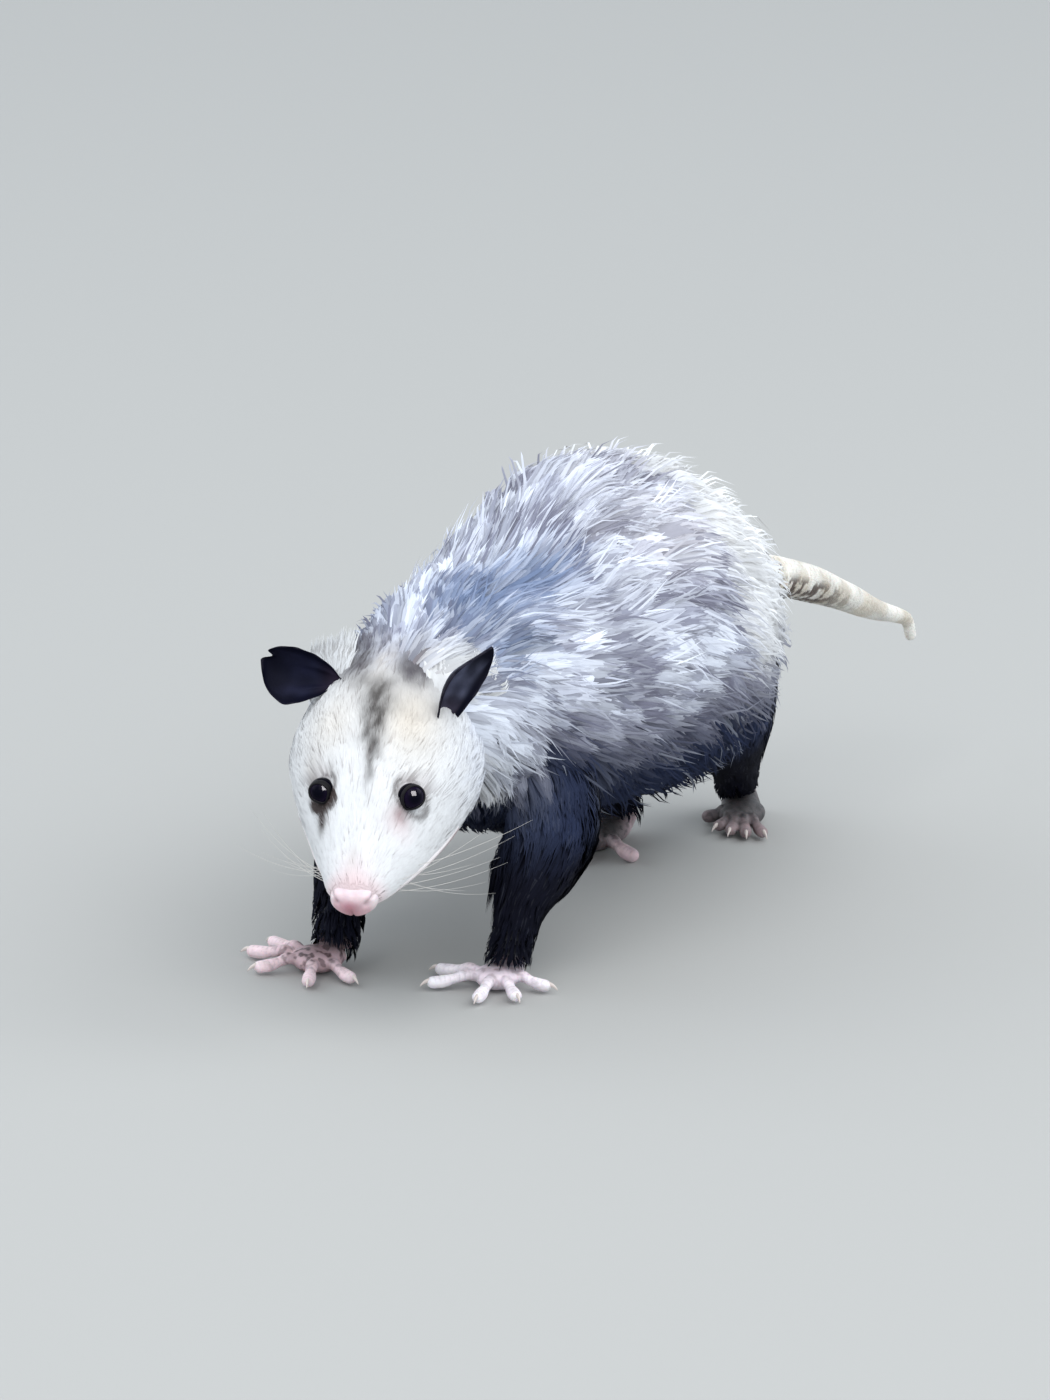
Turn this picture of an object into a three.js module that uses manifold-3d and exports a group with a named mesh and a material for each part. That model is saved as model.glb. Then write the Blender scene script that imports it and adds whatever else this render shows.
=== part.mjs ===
// A Virginia opossum at life size, standing in mid-step with its head low and turned to its left.
// Millimetres, +Z up. The head points to -Y, the tail to +Y and the animal's left side to +X.
import * as THREE from "three";
import { mergeVertices } from "three/addons/utils/BufferGeometryUtils.js";
import Module from "manifold-3d";

const wasm = await Module();
wasm.setup();

const vec = (x, y, z) => new THREE.Vector3(x, y, z);
const clamp = THREE.MathUtils.clamp;
const RAD = Math.PI / 180;

// Driving dimensions
const GAP = 0.35; // clearance between neighbouring pieces
const SLIVER = 0.06; // joins finer than this are smoothed away
const FLOOR_SLAB = { width: 900, length: 1200, depth: 100, y: 150 }; // what cuts the soles flat

// Trunk, nape to rump: y along the body, x and z of the middle, half width w, height up and
// depth down from the middle on bare skin, and the coat's depth from skin to tips.
const TRUNK = [
  { y: -60, x: 8, z: 138, w: 28, up: 25, down: 27, coat: 10 },
  { y: -32, x: 4, z: 136, w: 35, up: 33, down: 36, coat: 14 },
  { y: 5, x: 0, z: 130, w: 46, up: 46, down: 45, coat: 17 },
  { y: 45, x: 0, z: 127, w: 55, up: 59, down: 52, coat: 19 },
  { y: 95, x: 0, z: 129, w: 60, up: 75, down: 58, coat: 22 },
  { y: 145, x: 0, z: 130, w: 61, up: 79, down: 61, coat: 23 },
  { y: 195, x: -1, z: 127, w: 52, up: 72, down: 55, coat: 22 },
  { y: 235, x: -3, z: 121, w: 39, up: 57, down: 45, coat: 19 },
  { y: 262, x: -4, z: 116, w: 28, up: 46, down: 34, coat: 17 },
];
const TRUNK_START = -60;
const NECK_CUT = -6; // y of the parting between neck and torso
const RUMP_START = 246; // y where the rump begins to close
const RUMP_ROUND = 38; // length over which it closes
const RUMP_POLE = RUMP_START + (RUMP_ROUND * Math.PI) / 2; // its end, measured along the back
const LOW_WIDTH = 0.1; // how much wider the flanks are low down than high up
const CORE = 0.45; // share of the coat's depth that is dense

// Head, in its own frame: t runs back from the nose tip, top and bottom are heights of the bare
// profile above the nose tip, w the half width, wide the height of the widest point, fur its depth.
const HEAD = [
  { t: 2, top: 4, bottom: -9, w: 10, wide: -3, fur: 0.5 },
  { t: 9, top: 7.5, bottom: -15, w: 14, wide: -6, fur: 1.2 },
  { t: 20, top: 11, bottom: -21, w: 18, wide: -10, fur: 2.5 },
  { t: 34, top: 15.5, bottom: -26, w: 23, wide: -14, fur: 5 },
  { t: 46, top: 21.5, bottom: -30, w: 27.5, wide: -14, fur: 7.5 },
  { t: 58, top: 26, bottom: -34, w: 31.5, wide: -12, fur: 10.5 },
  { t: 72, top: 29, bottom: -37, w: 35, wide: -9, fur: 13 },
  { t: 88, top: 30.5, bottom: -39, w: 36, wide: -7, fur: 14 },
  { t: 104, top: 30, bottom: -38, w: 33, wide: -6, fur: 13 },
  { t: 120, top: 27, bottom: -35, w: 28, wide: -5, fur: 12 },
];
const CROWN_CLOSE = 0.6; // how much shorter the fur is over the crown than on the cheeks
const HEAD_START = 2;
const HEAD_END = 132;
const HEAD_ROUND = 26; // length over which the back of the head closes
const NOSE_TIP = vec(36.4, -135, 72);
const HEAD_YAW = 22.3 * RAD; // turned to its own left
const HEAD_PITCH = 36.2 * RAD; // nose down
const HEAD_ROLL = 4 * RAD;

const EYE_AT = { t: 50, side: 21.2, up: 15.2 };
const EYE_LOOK = [0.5, 0.55, 0.67]; // ahead, outwards and up
const EYE_RADIUS = 6.4;
const LID_RADIUS = 7.7;
const LID_OPENING = [6.5, 5.8, 5.3]; // along the look, across and up

const MOUTH = { from: 3, to: 60, width: 1.3, depth: 2.4 };
const MOUTH_LINE = [
  { t: 3, up: -10.5 },
  { t: 12, up: -13 },
  { t: 25, up: -17 },
  { t: 40, up: -20 },
  { t: 52, up: -20 },
  { t: 60, up: -17 },
];
const UPPER_LIP = { offset: 1.9, radius: 2.2 };
const LOWER_LIP = { offset: -1.7, radius: 1.9 };

// Nose pad: its middle, how far its lobes stand apart, their size, the bridge above them, the
// nostrils and the cleft down the middle. Sizes run across, ahead and up.
const NOSE = {
  t: 3,
  up: -4,
  lobe: 5.2,
  lobeSize: [7.2, 7.5, 8],
  bridge: { back: 3, up: 1.5, size: [8, 6.5, 7] },
  nostril: { ahead: 6.2, side: 6.2, up: -0.8, size: [2.3, 3.4, 2] },
  cleft: { ahead: 8.6, up: -4, size: [0.9, 3.2, 6] },
};

// Ears: length beyond the root, width, thickness and depth of the cup. Each is set on the head at t,
// side and up, along an axis and with its hollow side to a face, both given ahead, to the left and up.
const EAR = { length: 35, width: 32, thick: 1.7, cup: 11, root: 9 };
const EARS = {
  ear_left: { t: 99, side: 34, up: 20, axis: [-0.6, 0.5, 0.62], face: [0.4, 0.8, -0.22] },
  ear_right: { t: 106, side: -29, up: 25, axis: [-0.1, -0.97, 0.12], face: [0.59, -0.1, 0.79] },
};
const EAR_TEAR = { ear: "ear_right", out: 0.95, across: 5, size: [7, 3, 20] }; // an old frost notch

// Legs, coat included: middle p, half width a and half depth b.
const LEGS = {
  foreleg_left: [
    { p: vec(36, 16, 112), a: 20, b: 30 },
    { p: vec(46, 20, 90), a: 20, b: 30 },
    { p: vec(51, 18, 70), a: 18, b: 29 },
    { p: vec(51, 8, 52), a: 15, b: 22 },
    { p: vec(49, -3, 36), a: 11, b: 13 },
    { p: vec(48, -10, 13), a: 9.5, b: 10.5 },
  ],
  foreleg_right: [
    { p: vec(-36, 14, 112), a: 20, b: 30 },
    { p: vec(-46, 14, 88), a: 20, b: 28 },
    { p: vec(-49, 6, 64), a: 17, b: 24 },
    { p: vec(-40, -22, 40), a: 13, b: 17 },
    { p: vec(-27, -46, 13), a: 10, b: 10.5 },
  ],
  hindleg_left: [
    { p: vec(28, 215, 112), a: 22, b: 34 },
    { p: vec(34, 208, 88), a: 20, b: 30 },
    { p: vec(26, 228, 66), a: 16, b: 24 },
    { p: vec(10, 262, 42), a: 12, b: 15 },
    { p: vec(-6, 294, 17), a: 9, b: 10 },
  ],
  hindleg_right: [
    { p: vec(-34, 226, 118), a: 24, b: 38 },
    { p: vec(-46, 200, 88), a: 23, b: 34 },
    { p: vec(-46, 192, 62), a: 18, b: 25 },
    { p: vec(-38, 208, 40), a: 13, b: 16 },
    { p: vec(-32, 224, 17), a: 10, b: 10.5 },
  ],
};

// Feet: heel, palm and toe tips on the floor, inner toe first. Palm and heel sizes are half ones.
const FEET = {
  forefoot_left: {
    heel: vec(47, -6, 7),
    palm: vec(47, -17, 6),
    toes: [vec(17, -22, 4), vec(25, -42, 4), vec(54, -46, 4), vec(67, -32, 4), vec(70, -9, 4)],
    toeRadius: 3.6,
    palmSize: [11, 13, 6.5],
    heelSize: [9.5, 8],
  },
  forefoot_right: {
    heel: vec(-27, -44, 7),
    palm: vec(-33, -54, 6),
    toes: [vec(-7, -62, 4), vec(-20, -80, 4), vec(-50, -78, 4), vec(-66, -60, 4), vec(-66, -41, 4)],
    toeRadius: 3.6,
    palmSize: [12, 12, 6.5],
    heelSize: [9.5, 8],
  },
  hindfoot_left: {
    heel: vec(-9, 303, 8),
    palm: vec(5, 282, 6),
    toes: [vec(-9, 270, 4), vec(4, 260, 4), vec(12.5, 258, 4), vec(20.5, 260, 4), vec(27, 266, 4)],
    toeRadius: 3.3,
    palmSize: [11, 14, 7],
    heelSize: [8.5, 9],
    thumb: true,
  },
  hindfoot_right: {
    heel: vec(-33, 230, 8),
    palm: vec(-33, 200, 6),
    toes: [vec(-3, 190, 4), vec(-24, 172, 4), vec(-35, 168, 4), vec(-46, 172, 4), vec(-56, 182, 4)],
    toeRadius: 3.7,
    palmSize: [13, 17, 7],
    heelSize: [8.5, 9],
    thumb: true,
  },
};
const TOE_ROOT = { out: 7, z: 5 }; // where a toe leaves the palm
const CLAW_LENGTH = 5;
const THUMB_SWELL = 1.15; // the hind foot's thumb is thicker and has no claw

// Tail: short and blunt, x, y and z of its middle and the radius.
const TAIL = [
  { x: -2, y: 262, z: 128, r: 13 },
  { x: -1, y: 288, z: 127, r: 12 },
  { x: 0, y: 312, z: 123, r: 10.2 },
  { x: 0, y: 345, z: 112, r: 9.2 },
  { x: 0, y: 380, z: 98, r: 7.6 },
  { x: 0, y: 412, z: 84, r: 5.6 },
  { x: 0, y: 440, z: 74, r: 3.9 },
  { x: 0, y: 450, z: 69, r: 3.2 },
  { x: 0, y: 455, z: 60, r: 2.9 },
];
const TAIL_CUTS = [352, 408];
const TAIL_ROOM = { width: 200, height: 300, z: 100 }; // the block that parts the tail's lengths

// Coat locks: flat and tapered. Each row has a place along the body, a number of locks round it
// and a length. drop is how far the hair turns from straight back towards the belly.
const NECK_ROWS = [
  { at: -49, locks: 13, length: 31 },
  { at: -26, locks: 13, length: 35 },
];
const TORSO_ROWS = [
  { at: 2, locks: 14, length: 45 },
  { at: 31, locks: 15, length: 49 },
  { at: 61, locks: 15, length: 52 },
  { at: 91, locks: 15, length: 54 },
  { at: 121, locks: 15, length: 54 },
  { at: 151, locks: 15, length: 54 },
  { at: 181, locks: 15, length: 53 },
  { at: 210, locks: 13, length: 51 },
  { at: 238, locks: 11, length: 48 },
  { at: 264, locks: 9, length: 42 },
  { at: 286, locks: 6, length: 32 },
];
const LOCK = { width: 23, thick: 3, sink: 6, drop: 24 * RAD, scatter: 12 * RAD, stray: 0.18 };
const LOCK_SHAPE = [
  { f: 0, wide: 0.7, thick: 1 },
  { f: 0.3, wide: 1, thick: 0.85 },
  { f: 0.66, wide: 0.66, thick: 0.45 },
];
const LOCK_UNDER = 0.35; // how far the flat side lies below the path, against the ridge above it
const BELLY_SHORT = 0.72; // locks under the belly against those on the back
const HANG = vec(0, 0.35, -0.94); // the way hair falls past the end of the rump
const LEG_LOCK = { width: 15, length: 24, rise: 4, sink: 5, thick: 2.2 };
const LEG_LOCKS = [
  { f: 0.3, turns: [-15, 28, 70, 112] },
  { f: 0.45, turns: [5, 50, 95] },
  { f: 0.58, turns: [30, 78] },
]; // degrees from the outer side through the rear


// Solids

// A repeatable stream of numbers from 0 to 1.
function seeded(seed) {
  let state = seed >>> 0;
  return () => {
    state = (Math.imul(state, 1664525) + 1013904223) >>> 0;
    return state / 4294967296;
  };
}

// A smooth curve through one column of a table of stations: a cubic between each two rows.
function along(table, key, column, at) {
  const last = table.length - 1;
  const place = clamp(at, table[0][key], table[last][key]);
  let i = 0;
  while (i < last - 1 && place > table[i + 1][key]) i += 1;
  const row = (k) => table[clamp(k, 0, last)];
  const slope = (k) => {
    const before = row(k - 1);
    const after = row(k + 1);
    return (after[column] - before[column]) / (after[key] - before[key]);
  };
  const step = row(i + 1)[key] - row(i)[key];
  const u = (place - row(i)[key]) / step;
  const blend = u * u * (3 - 2 * u);
  const bend = slope(i) * step * (u ** 3 - 2 * u * u + u) + slope(i + 1) * step * (u ** 3 - u * u);
  return row(i)[column] * (1 - blend) + row(i + 1)[column] * blend + bend;
}

// Points and triangle indices as a solid whose faces point out.
function solidFrom(points, faces) {
  const geometry = new THREE.BufferGeometry().setFromPoints(points);
  geometry.setIndex(faces);
  const merged = mergeVertices(geometry, 1e-4);
  const triVerts = new Uint32Array(merged.index.array);
  const vertProperties = merged.attributes.position.array;
  const make = () => new wasm.Manifold(new wasm.Mesh({ numProp: 3, vertProperties, triVerts }));
  const made = make();
  if (made.volume() > 0) return made;
  for (let i = 0; i < triVerts.length; i += 3) {
    [triVerts[i + 1], triVerts[i + 2]] = [triVerts[i + 2], triVerts[i + 1]];
  }
  return make();
}

// A three.js geometry as a solid, placed by a matrix.
function solidOf(geometry, matrix) {
  const bare = geometry.applyMatrix4(matrix);
  bare.deleteAttribute("normal");
  bare.deleteAttribute("uv");
  const merged = mergeVertices(bare, 1e-4);
  const points = Array.from({ length: merged.attributes.position.count }, (_, i) =>
    vec(0, 0, 0).fromBufferAttribute(merged.attributes.position, i),
  );
  return solidFrom(points, [...merged.index.array]);
}

// A closed solid from rings of equal length, closed at each end by a fan to the ring's middle or
// to a given pole.
function ringSolid(rings, startPole, endPole) {
  const count = rings[0].length;
  const middle = (ring) => ring.reduce((sum, p) => sum.add(p), vec(0, 0, 0)).divideScalar(count);
  const points = rings.flat();
  points.push(startPole ?? middle(rings[0]), endPole ?? middle(rings.at(-1)));
  const start = points.length - 2;
  const top = (rings.length - 1) * count;
  const faces = [];
  for (let j = 0; j < count; j += 1) {
    const k = (j + 1) % count;
    for (let i = 0; i < top; i += count) {
      faces.push(i + j, i + k, i + k + count, i + j, i + k + count, i + j + count);
    }
    faces.push(start, k, j, start + 1, top + j, top + k);
  }
  return solidFrom(points, faces);
}

// A ball stretched along three axes.
function blob(centre, sizes, axes, detail) {
  const matrix = new THREE.Matrix4().makeBasis(
    ...axes.map((axis, i) => axis.clone().multiplyScalar(sizes[i])),
  );
  matrix.setPosition(centre);
  return solidOf(new THREE.SphereGeometry(1, detail, Math.round(detail * 0.7)), matrix);
}

const joined = (solids) => solids.reduce((a, b) => a.add(b));

// The biggest closed surface of a solid, so that no scrap stays loose.
const largest = (solid) => solid.decompose().reduce((a, b) => (a.volume() > b.volume() ? a : b));

// The middle, axes and half sizes of a limb at a share f of its length. Its width runs across the
// hint and its depth along it. The sections turn half as much as the limb bends, so that none cross.
function limbFrame(stations, hint, f) {
  const curve = new THREE.CatmullRomCurve3(stations.map((s) => s.p), false, "centripetal");
  const k = f * (stations.length - 1);
  const lower = Math.min(Math.floor(k), stations.length - 2);
  const mix = THREE.MathUtils.smoothstep(k - lower, 0, 1);
  const size = (name) => THREE.MathUtils.lerp(stations[lower][name], stations[lower + 1][name], mix);
  const chord = stations.at(-1).p.clone().sub(stations[0].p).normalize();
  const way = curve.getTangent(f).lerp(chord, 0.5).normalize();
  const side = vec(0, 0, 0).crossVectors(hint, way).normalize();
  const up = vec(0, 0, 0).crossVectors(way, side).normalize();
  return { middle: curve.getPoint(f), way, side, up, a: size("a"), b: size("b") };
}

// A limb of oval section as a solid.
function limb(stations, hint, sides, steps, grow = 0, pole) {
  const rings = [];
  for (let i = 0; i <= steps; i += 1) {
    const frame = limbFrame(stations, hint, i / steps);
    const ring = [];
    for (let j = 0; j < sides; j += 1) {
      const turn = (j / sides) * 2 * Math.PI;
      const across = frame.side.clone().multiplyScalar(Math.cos(turn) * (frame.a + grow));
      ring.push(frame.middle.clone().add(across).addScaledVector(frame.up, Math.sin(turn) * (frame.b + grow)));
    }
    rings.push(ring);
  }
  return ringSolid(rings, undefined, pole);
}

// One lock along a path that gives a point and the way out of the coat at a share f of its length.
// It is flat underneath and ridged on top.
function lock(path, width, thick, grow) {
  const rings = LOCK_SHAPE.map((shape) => {
    const here = path(shape.f);
    const way = path(shape.f + 0.02).p.sub(path(shape.f - 0.02).p);
    const side = vec(0, 0, 0).crossVectors(here.out, way).normalize();
    const half = (width / 2) * shape.wide + grow * 3;
    const deep = thick * shape.thick + grow;
    const under = -LOCK_UNDER * thick * shape.thick - grow;
    return [
      here.p.clone().addScaledVector(side, half).addScaledVector(here.out, under),
      here.p.clone().addScaledVector(here.out, deep),
      here.p.clone().addScaledVector(side, -half).addScaledVector(here.out, under),
    ];
  });
  const tip = path(1).p;
  tip.addScaledVector(tip.clone().sub(path(LOCK_SHAPE.at(-1).f).p).normalize(), grow * 4);
  return ringSolid(rings, undefined, tip);
}

// Trunk

// A point of the trunk at s along the back, turned by an angle from +X through +Z, at a share of
// the coat's depth.
function trunkPoint(s, turn, share, grow = 0) {
  const phi = clamp((s - RUMP_START) / RUMP_ROUND, 0, Math.PI / 2);
  const skin = Math.min(s, RUMP_START) + RUMP_ROUND * Math.sin(phi);
  const value = (column) => along(TRUNK, "y", column, skin);
  const lift = value("coat") * share + grow;
  const wide = (value("w") + lift) * Math.cos(phi);
  const high = ((Math.sin(turn) > 0 ? value("up") : value("down")) + lift) * Math.cos(phi);
  return vec(
    value("x") + Math.cos(turn) * wide * (1 - LOW_WIDTH * Math.sin(turn)),
    skin + lift * Math.sin(phi),
    value("z") + Math.sin(turn) * high,
  );
}

// The trunk between two places along the back, closed by its pole when it reaches the rump's end.
function trunkSolid(from, to, share, steps, grow = 0) {
  const sides = 16;
  const closes = to === RUMP_POLE;
  const rings = [];
  for (let i = 0; i <= steps; i += 1) {
    const s = from - grow + ((closes ? to - 6 : to) + (closes ? 0 : grow) - (from - grow)) * (i / steps);
    rings.push(
      Array.from({ length: sides }, (_, j) => trunkPoint(s, (j / sides) * 2 * Math.PI, share, grow)),
    );
  }
  return ringSolid(rings, undefined, closes ? trunkPoint(to, 0, share, grow) : undefined);
}

// The path of a trunk lock: it follows the body backwards, turned towards the belly by an angle,
// and climbs from inside the dense coat to the tips, or a little past them.
function trunkPath(root, turn, length, heading, reach) {
  const depth = along(TRUNK, "y", "coat", root);
  const low = CORE - LOCK.sink / depth;
  const section = along(TRUNK, "y", "w", root) + depth;
  const towardsBelly = Math.cos(turn) > 0 ? -1 : 1;
  return (f) => {
    const s = root + length * f * Math.cos(heading);
    const round = turn + (towardsBelly * length * f * Math.sin(heading)) / section;
    const share = low + (reach - low) * Math.sin((clamp(f, 0, 1) * Math.PI) / 2) ** 1.1;
    const last = RUMP_POLE - 10;
    const past = Math.max(0, s - last);
    const p = trunkPoint(Math.min(s, last), round, share).addScaledVector(HANG, past);
    const out = trunkPoint(Math.min(s, last), round, share + 0.2)
      .sub(trunkPoint(Math.min(s, last), round, share - 0.2))
      .normalize();
    return { p, out };
  };
}

// All the locks of some rows, each row's locks set between those of the row before. Those whose
// root another piece covers are left out.
function trunkLocks(rows, seed, covered, grow = 0) {
  const draw = seeded(seed);
  const spread = (amount) => (draw() - 0.5) * 2 * amount;
  const locks = [];
  rows.forEach((row, i) => {
    for (let j = 0; j < row.locks; j += 1) {
      const turn = ((j + (i % 2) / 2 + spread(LOCK.stray)) / row.locks) * 2 * Math.PI - Math.PI / 2;
      const root = row.at + spread(5);
      const under = clamp(-Math.sin(turn), 0, 1);
      const length = row.length * (1 - (1 - BELLY_SHORT) * under) * (1 + spread(0.16));
      const heading = LOCK.drop * Math.abs(Math.cos(turn)) + spread(LOCK.scatter);
      const reach = 1 + spread(0.1);
      const width = LOCK.width * (1 + spread(0.2));
      if (covered(trunkPoint(root, turn, CORE))) continue;
      locks.push(lock(trunkPath(root, turn, length, heading, reach), width, LOCK.thick, grow));
    }
  });
  return joined(locks);
}

// Head

const headAxes = (() => {
  const ahead = vec(
    Math.sin(HEAD_YAW) * Math.cos(HEAD_PITCH),
    -Math.cos(HEAD_YAW) * Math.cos(HEAD_PITCH),
    -Math.sin(HEAD_PITCH),
  );
  const level = vec(Math.cos(HEAD_YAW), Math.sin(HEAD_YAW), 0);
  const rise = vec(0, 0, 0).crossVectors(ahead, level);
  const side = level.multiplyScalar(Math.cos(HEAD_ROLL)).addScaledVector(rise, Math.sin(HEAD_ROLL));
  return { ahead, side, up: vec(0, 0, 0).crossVectors(ahead, side) };
})();
const HEAD_BASIS = [headAxes.side, headAxes.ahead, headAxes.up];

// A direction given ahead, to the animal's left and up in the head's frame.
function headWay(ahead, side, up) {
  return vec(0, 0, 0)
    .addScaledVector(headAxes.ahead, ahead)
    .addScaledVector(headAxes.side, side)
    .addScaledVector(headAxes.up, up);
}

// A point given in the head's frame: t back from the nose tip, side to its left, up.
const headPoint = (t, side, up) => NOSE_TIP.clone().add(headWay(-t, side, up));

function headSkin(t, turn, share, grow = 0) {
  const value = (column) => along(HEAD, "t", column, t);
  const past = clamp((t - (HEAD_END - HEAD_ROUND)) / HEAD_ROUND, 0, 1);
  const close = Math.sqrt(1 - past * past);
  const lift = value("fur") * share * (1 - CROWN_CLOSE * Math.max(0, Math.sin(turn))) + grow;
  const middle = value("wide");
  const reach = Math.sin(turn) > 0 ? value("top") - middle : middle - value("bottom");
  return headPoint(
    t,
    Math.cos(turn) * (value("w") * close + lift),
    middle + Math.sin(turn) * (reach * close + lift),
  );
}

// The skull's form with its short fur, from the muzzle to the back of the head.
function headSolid(grow = 0, sides = 22, steps = 13) {
  const rings = [];
  for (let i = 0; i <= steps; i += 1) {
    const f = i / steps;
    const t = HEAD_START + (HEAD_END - HEAD_START - 2) * (0.35 * f + 0.65 * f * f * (3 - 2 * f));
    rings.push(Array.from({ length: sides }, (_, j) => headSkin(t, (j / sides) * 2 * Math.PI, 1, grow)));
  }
  return ringSolid(rings, headPoint(-1 - grow, 0, -2), headPoint(HEAD_END + 6 + grow, 0, -4));
}

// The slit of the mouth: a thin curved sheet across the muzzle, less all that lies deep inside.
function mouthSlit() {
  const steps = 6;
  const rings = [];
  for (let i = 0; i <= steps; i += 1) {
    const t = MOUTH.from + ((MOUTH.to - MOUTH.from) * i) / steps;
    const half = MOUTH.width * (i === steps ? 0.2 : 0.5);
    const up = along(MOUTH_LINE, "t", "up", t);
    const corner = (side, lift) => headPoint(t, side * 60, up + lift);
    rings.push([corner(1, half), corner(-1, half), corner(-1, -half), corner(1, -half)]);
  }
  return ringSolid(rings).subtract(headSolid(-MOUTH.depth, 14, 8));
}

// The roll of a lip along the mouth on one side, fading towards its ends.
function lipRoll(side, lip) {
  const count = 6;
  const stations = [];
  for (let i = 0; i <= count; i += 1) {
    const t = MOUTH.from + 2 + ((MOUTH.to - MOUTH.from - 4) * i) / count;
    const up = along(MOUTH_LINE, "t", "up", t) + lip.offset;
    const middle = along(HEAD, "t", "wide", t);
    const reach = middle - along(HEAD, "t", "bottom", t) + along(HEAD, "t", "fur", t);
    const turn = Math.asin(clamp((up - middle) / reach, -1, 1));
    const skin = headSkin(t, side > 0 ? turn : Math.PI - turn, 1);
    const radius = lip.radius * Math.sin((Math.PI * (i + 0.6)) / (count + 1.2));
    stations.push({ p: skin.addScaledVector(headAxes.side, -side * lip.radius * 0.55), a: radius, b: radius });
  }
  return limb(stations, headAxes.up, 5, 5);
}

// The nose pad: two lobes and a bridge, or the room for them when grown.
function noseSolid(grow = 0) {
  const grown = (size) => size.map((r) => r + grow);
  const { bridge, nostril, cleft } = NOSE;
  const lobes = [-1, 1].map((s) =>
    blob(headPoint(NOSE.t, NOSE.lobe * s, NOSE.up), grown(NOSE.lobeSize), HEAD_BASIS, 9),
  );
  const above = headPoint(NOSE.t + bridge.back, 0, NOSE.up + bridge.up);
  const pad = joined([...lobes, blob(above, grown(bridge.size), HEAD_BASIS, 8)]);
  if (grow) return pad;
  const holes = [-1, 1].map((s) => {
    const middle = headPoint(NOSE.t - nostril.ahead, nostril.side * s, NOSE.up + nostril.up);
    return blob(middle, nostril.size, HEAD_BASIS, 8);
  });
  holes.push(blob(headPoint(NOSE.t - cleft.ahead, 0, NOSE.up + cleft.up), cleft.size, HEAD_BASIS, 8));
  return pad.subtract(joined(holes));
}

// One eye: where it sits, and its axes along the look, across and up.
function eyeFrame(side) {
  const look = headWay(EYE_LOOK[0], EYE_LOOK[1] * side, EYE_LOOK[2]).normalize();
  const across = vec(0, 0, 0).crossVectors(look, headAxes.up).normalize();
  const axes = [look, across, vec(0, 0, 0).crossVectors(across, look)];
  const centre = headPoint(EYE_AT.t, EYE_AT.side * side, EYE_AT.up);
  const ball = (radius) => blob(centre, [radius, radius, radius], axes, 12);
  return { ball, opening: blob(centre.clone().addScaledVector(look, EYE_RADIUS), LID_OPENING, axes, 8) };
}

// An ear: a cupped leaf, its two faces alike and closed by a rim.
function earSolid(name, grow = 0) {
  const lie = EARS[name];
  const root = headPoint(lie.t, lie.side, lie.up);
  const out = headWay(...lie.axis).normalize();
  const across = vec(0, 0, 0).crossVectors(headWay(...lie.face), out).normalize();
  const front = vec(0, 0, 0).crossVectors(out, across);
  const rows = 7;
  const columns = 6;
  const point = (a, b, face) => {
    const leaf = Math.sin(Math.PI * (0.12 + 0.88 * a) ** 0.75) ** 0.6;
    const half = (EAR.width / 2) * Math.max(leaf, 0.25 * (1 - a)) + grow;
    const deep = EAR.cup * (0.5 + 0.5 * Math.sin(Math.PI * Math.min(1, a + 0.25)));
    return root
      .clone()
      .addScaledVector(out, (EAR.length + EAR.root) * a - EAR.root)
      .addScaledVector(across, b * half * (1 - 0.12 * b * b))
      .addScaledVector(front, deep * (b * b * (1 - 0.35 * a) - 0.5) + face * (EAR.thick / 2 + grow));
  };
  const points = [];
  for (const face of [1, -1]) {
    for (let i = 0; i <= rows; i += 1) {
      for (let j = 0; j <= columns; j += 1) {
        points.push(point((0.97 * i) / rows, (2 * j) / columns - 1, face));
      }
    }
  }
  const at = (layer, i, j) => (layer * (rows + 1) + i) * (columns + 1) + j;
  const faces = [];
  const quad = (a, b, c, d) => faces.push(a, b, c, a, c, d);
  for (let i = 0; i < rows; i += 1) {
    for (let j = 0; j < columns; j += 1) {
      quad(at(0, i, j), at(0, i + 1, j), at(0, i + 1, j + 1), at(0, i, j + 1));
      faces.push(at(1, i, j), at(1, i + 1, j + 1), at(1, i + 1, j));
      faces.push(at(1, i, j), at(1, i, j + 1), at(1, i + 1, j + 1));
    }
    quad(at(0, i + 1, 0), at(0, i, 0), at(1, i, 0), at(1, i + 1, 0));
    quad(at(0, i, columns), at(0, i + 1, columns), at(1, i + 1, columns), at(1, i, columns));
  }
  for (let j = 0; j < columns; j += 1) {
    quad(at(0, 0, j), at(0, 0, j + 1), at(1, 0, j + 1), at(1, 0, j));
    quad(at(0, rows, j + 1), at(0, rows, j), at(1, rows, j), at(1, rows, j + 1));
  }
  const ear = solidFrom(points, faces);
  if (grow || name !== EAR_TEAR.ear) return ear;
  const tear = root.addScaledVector(out, EAR.length * EAR_TEAR.out).addScaledVector(across, EAR_TEAR.across);
  return ear.subtract(blob(tear, EAR_TEAR.size, [out, across, front], 6));
}

// Legs and feet

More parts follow.
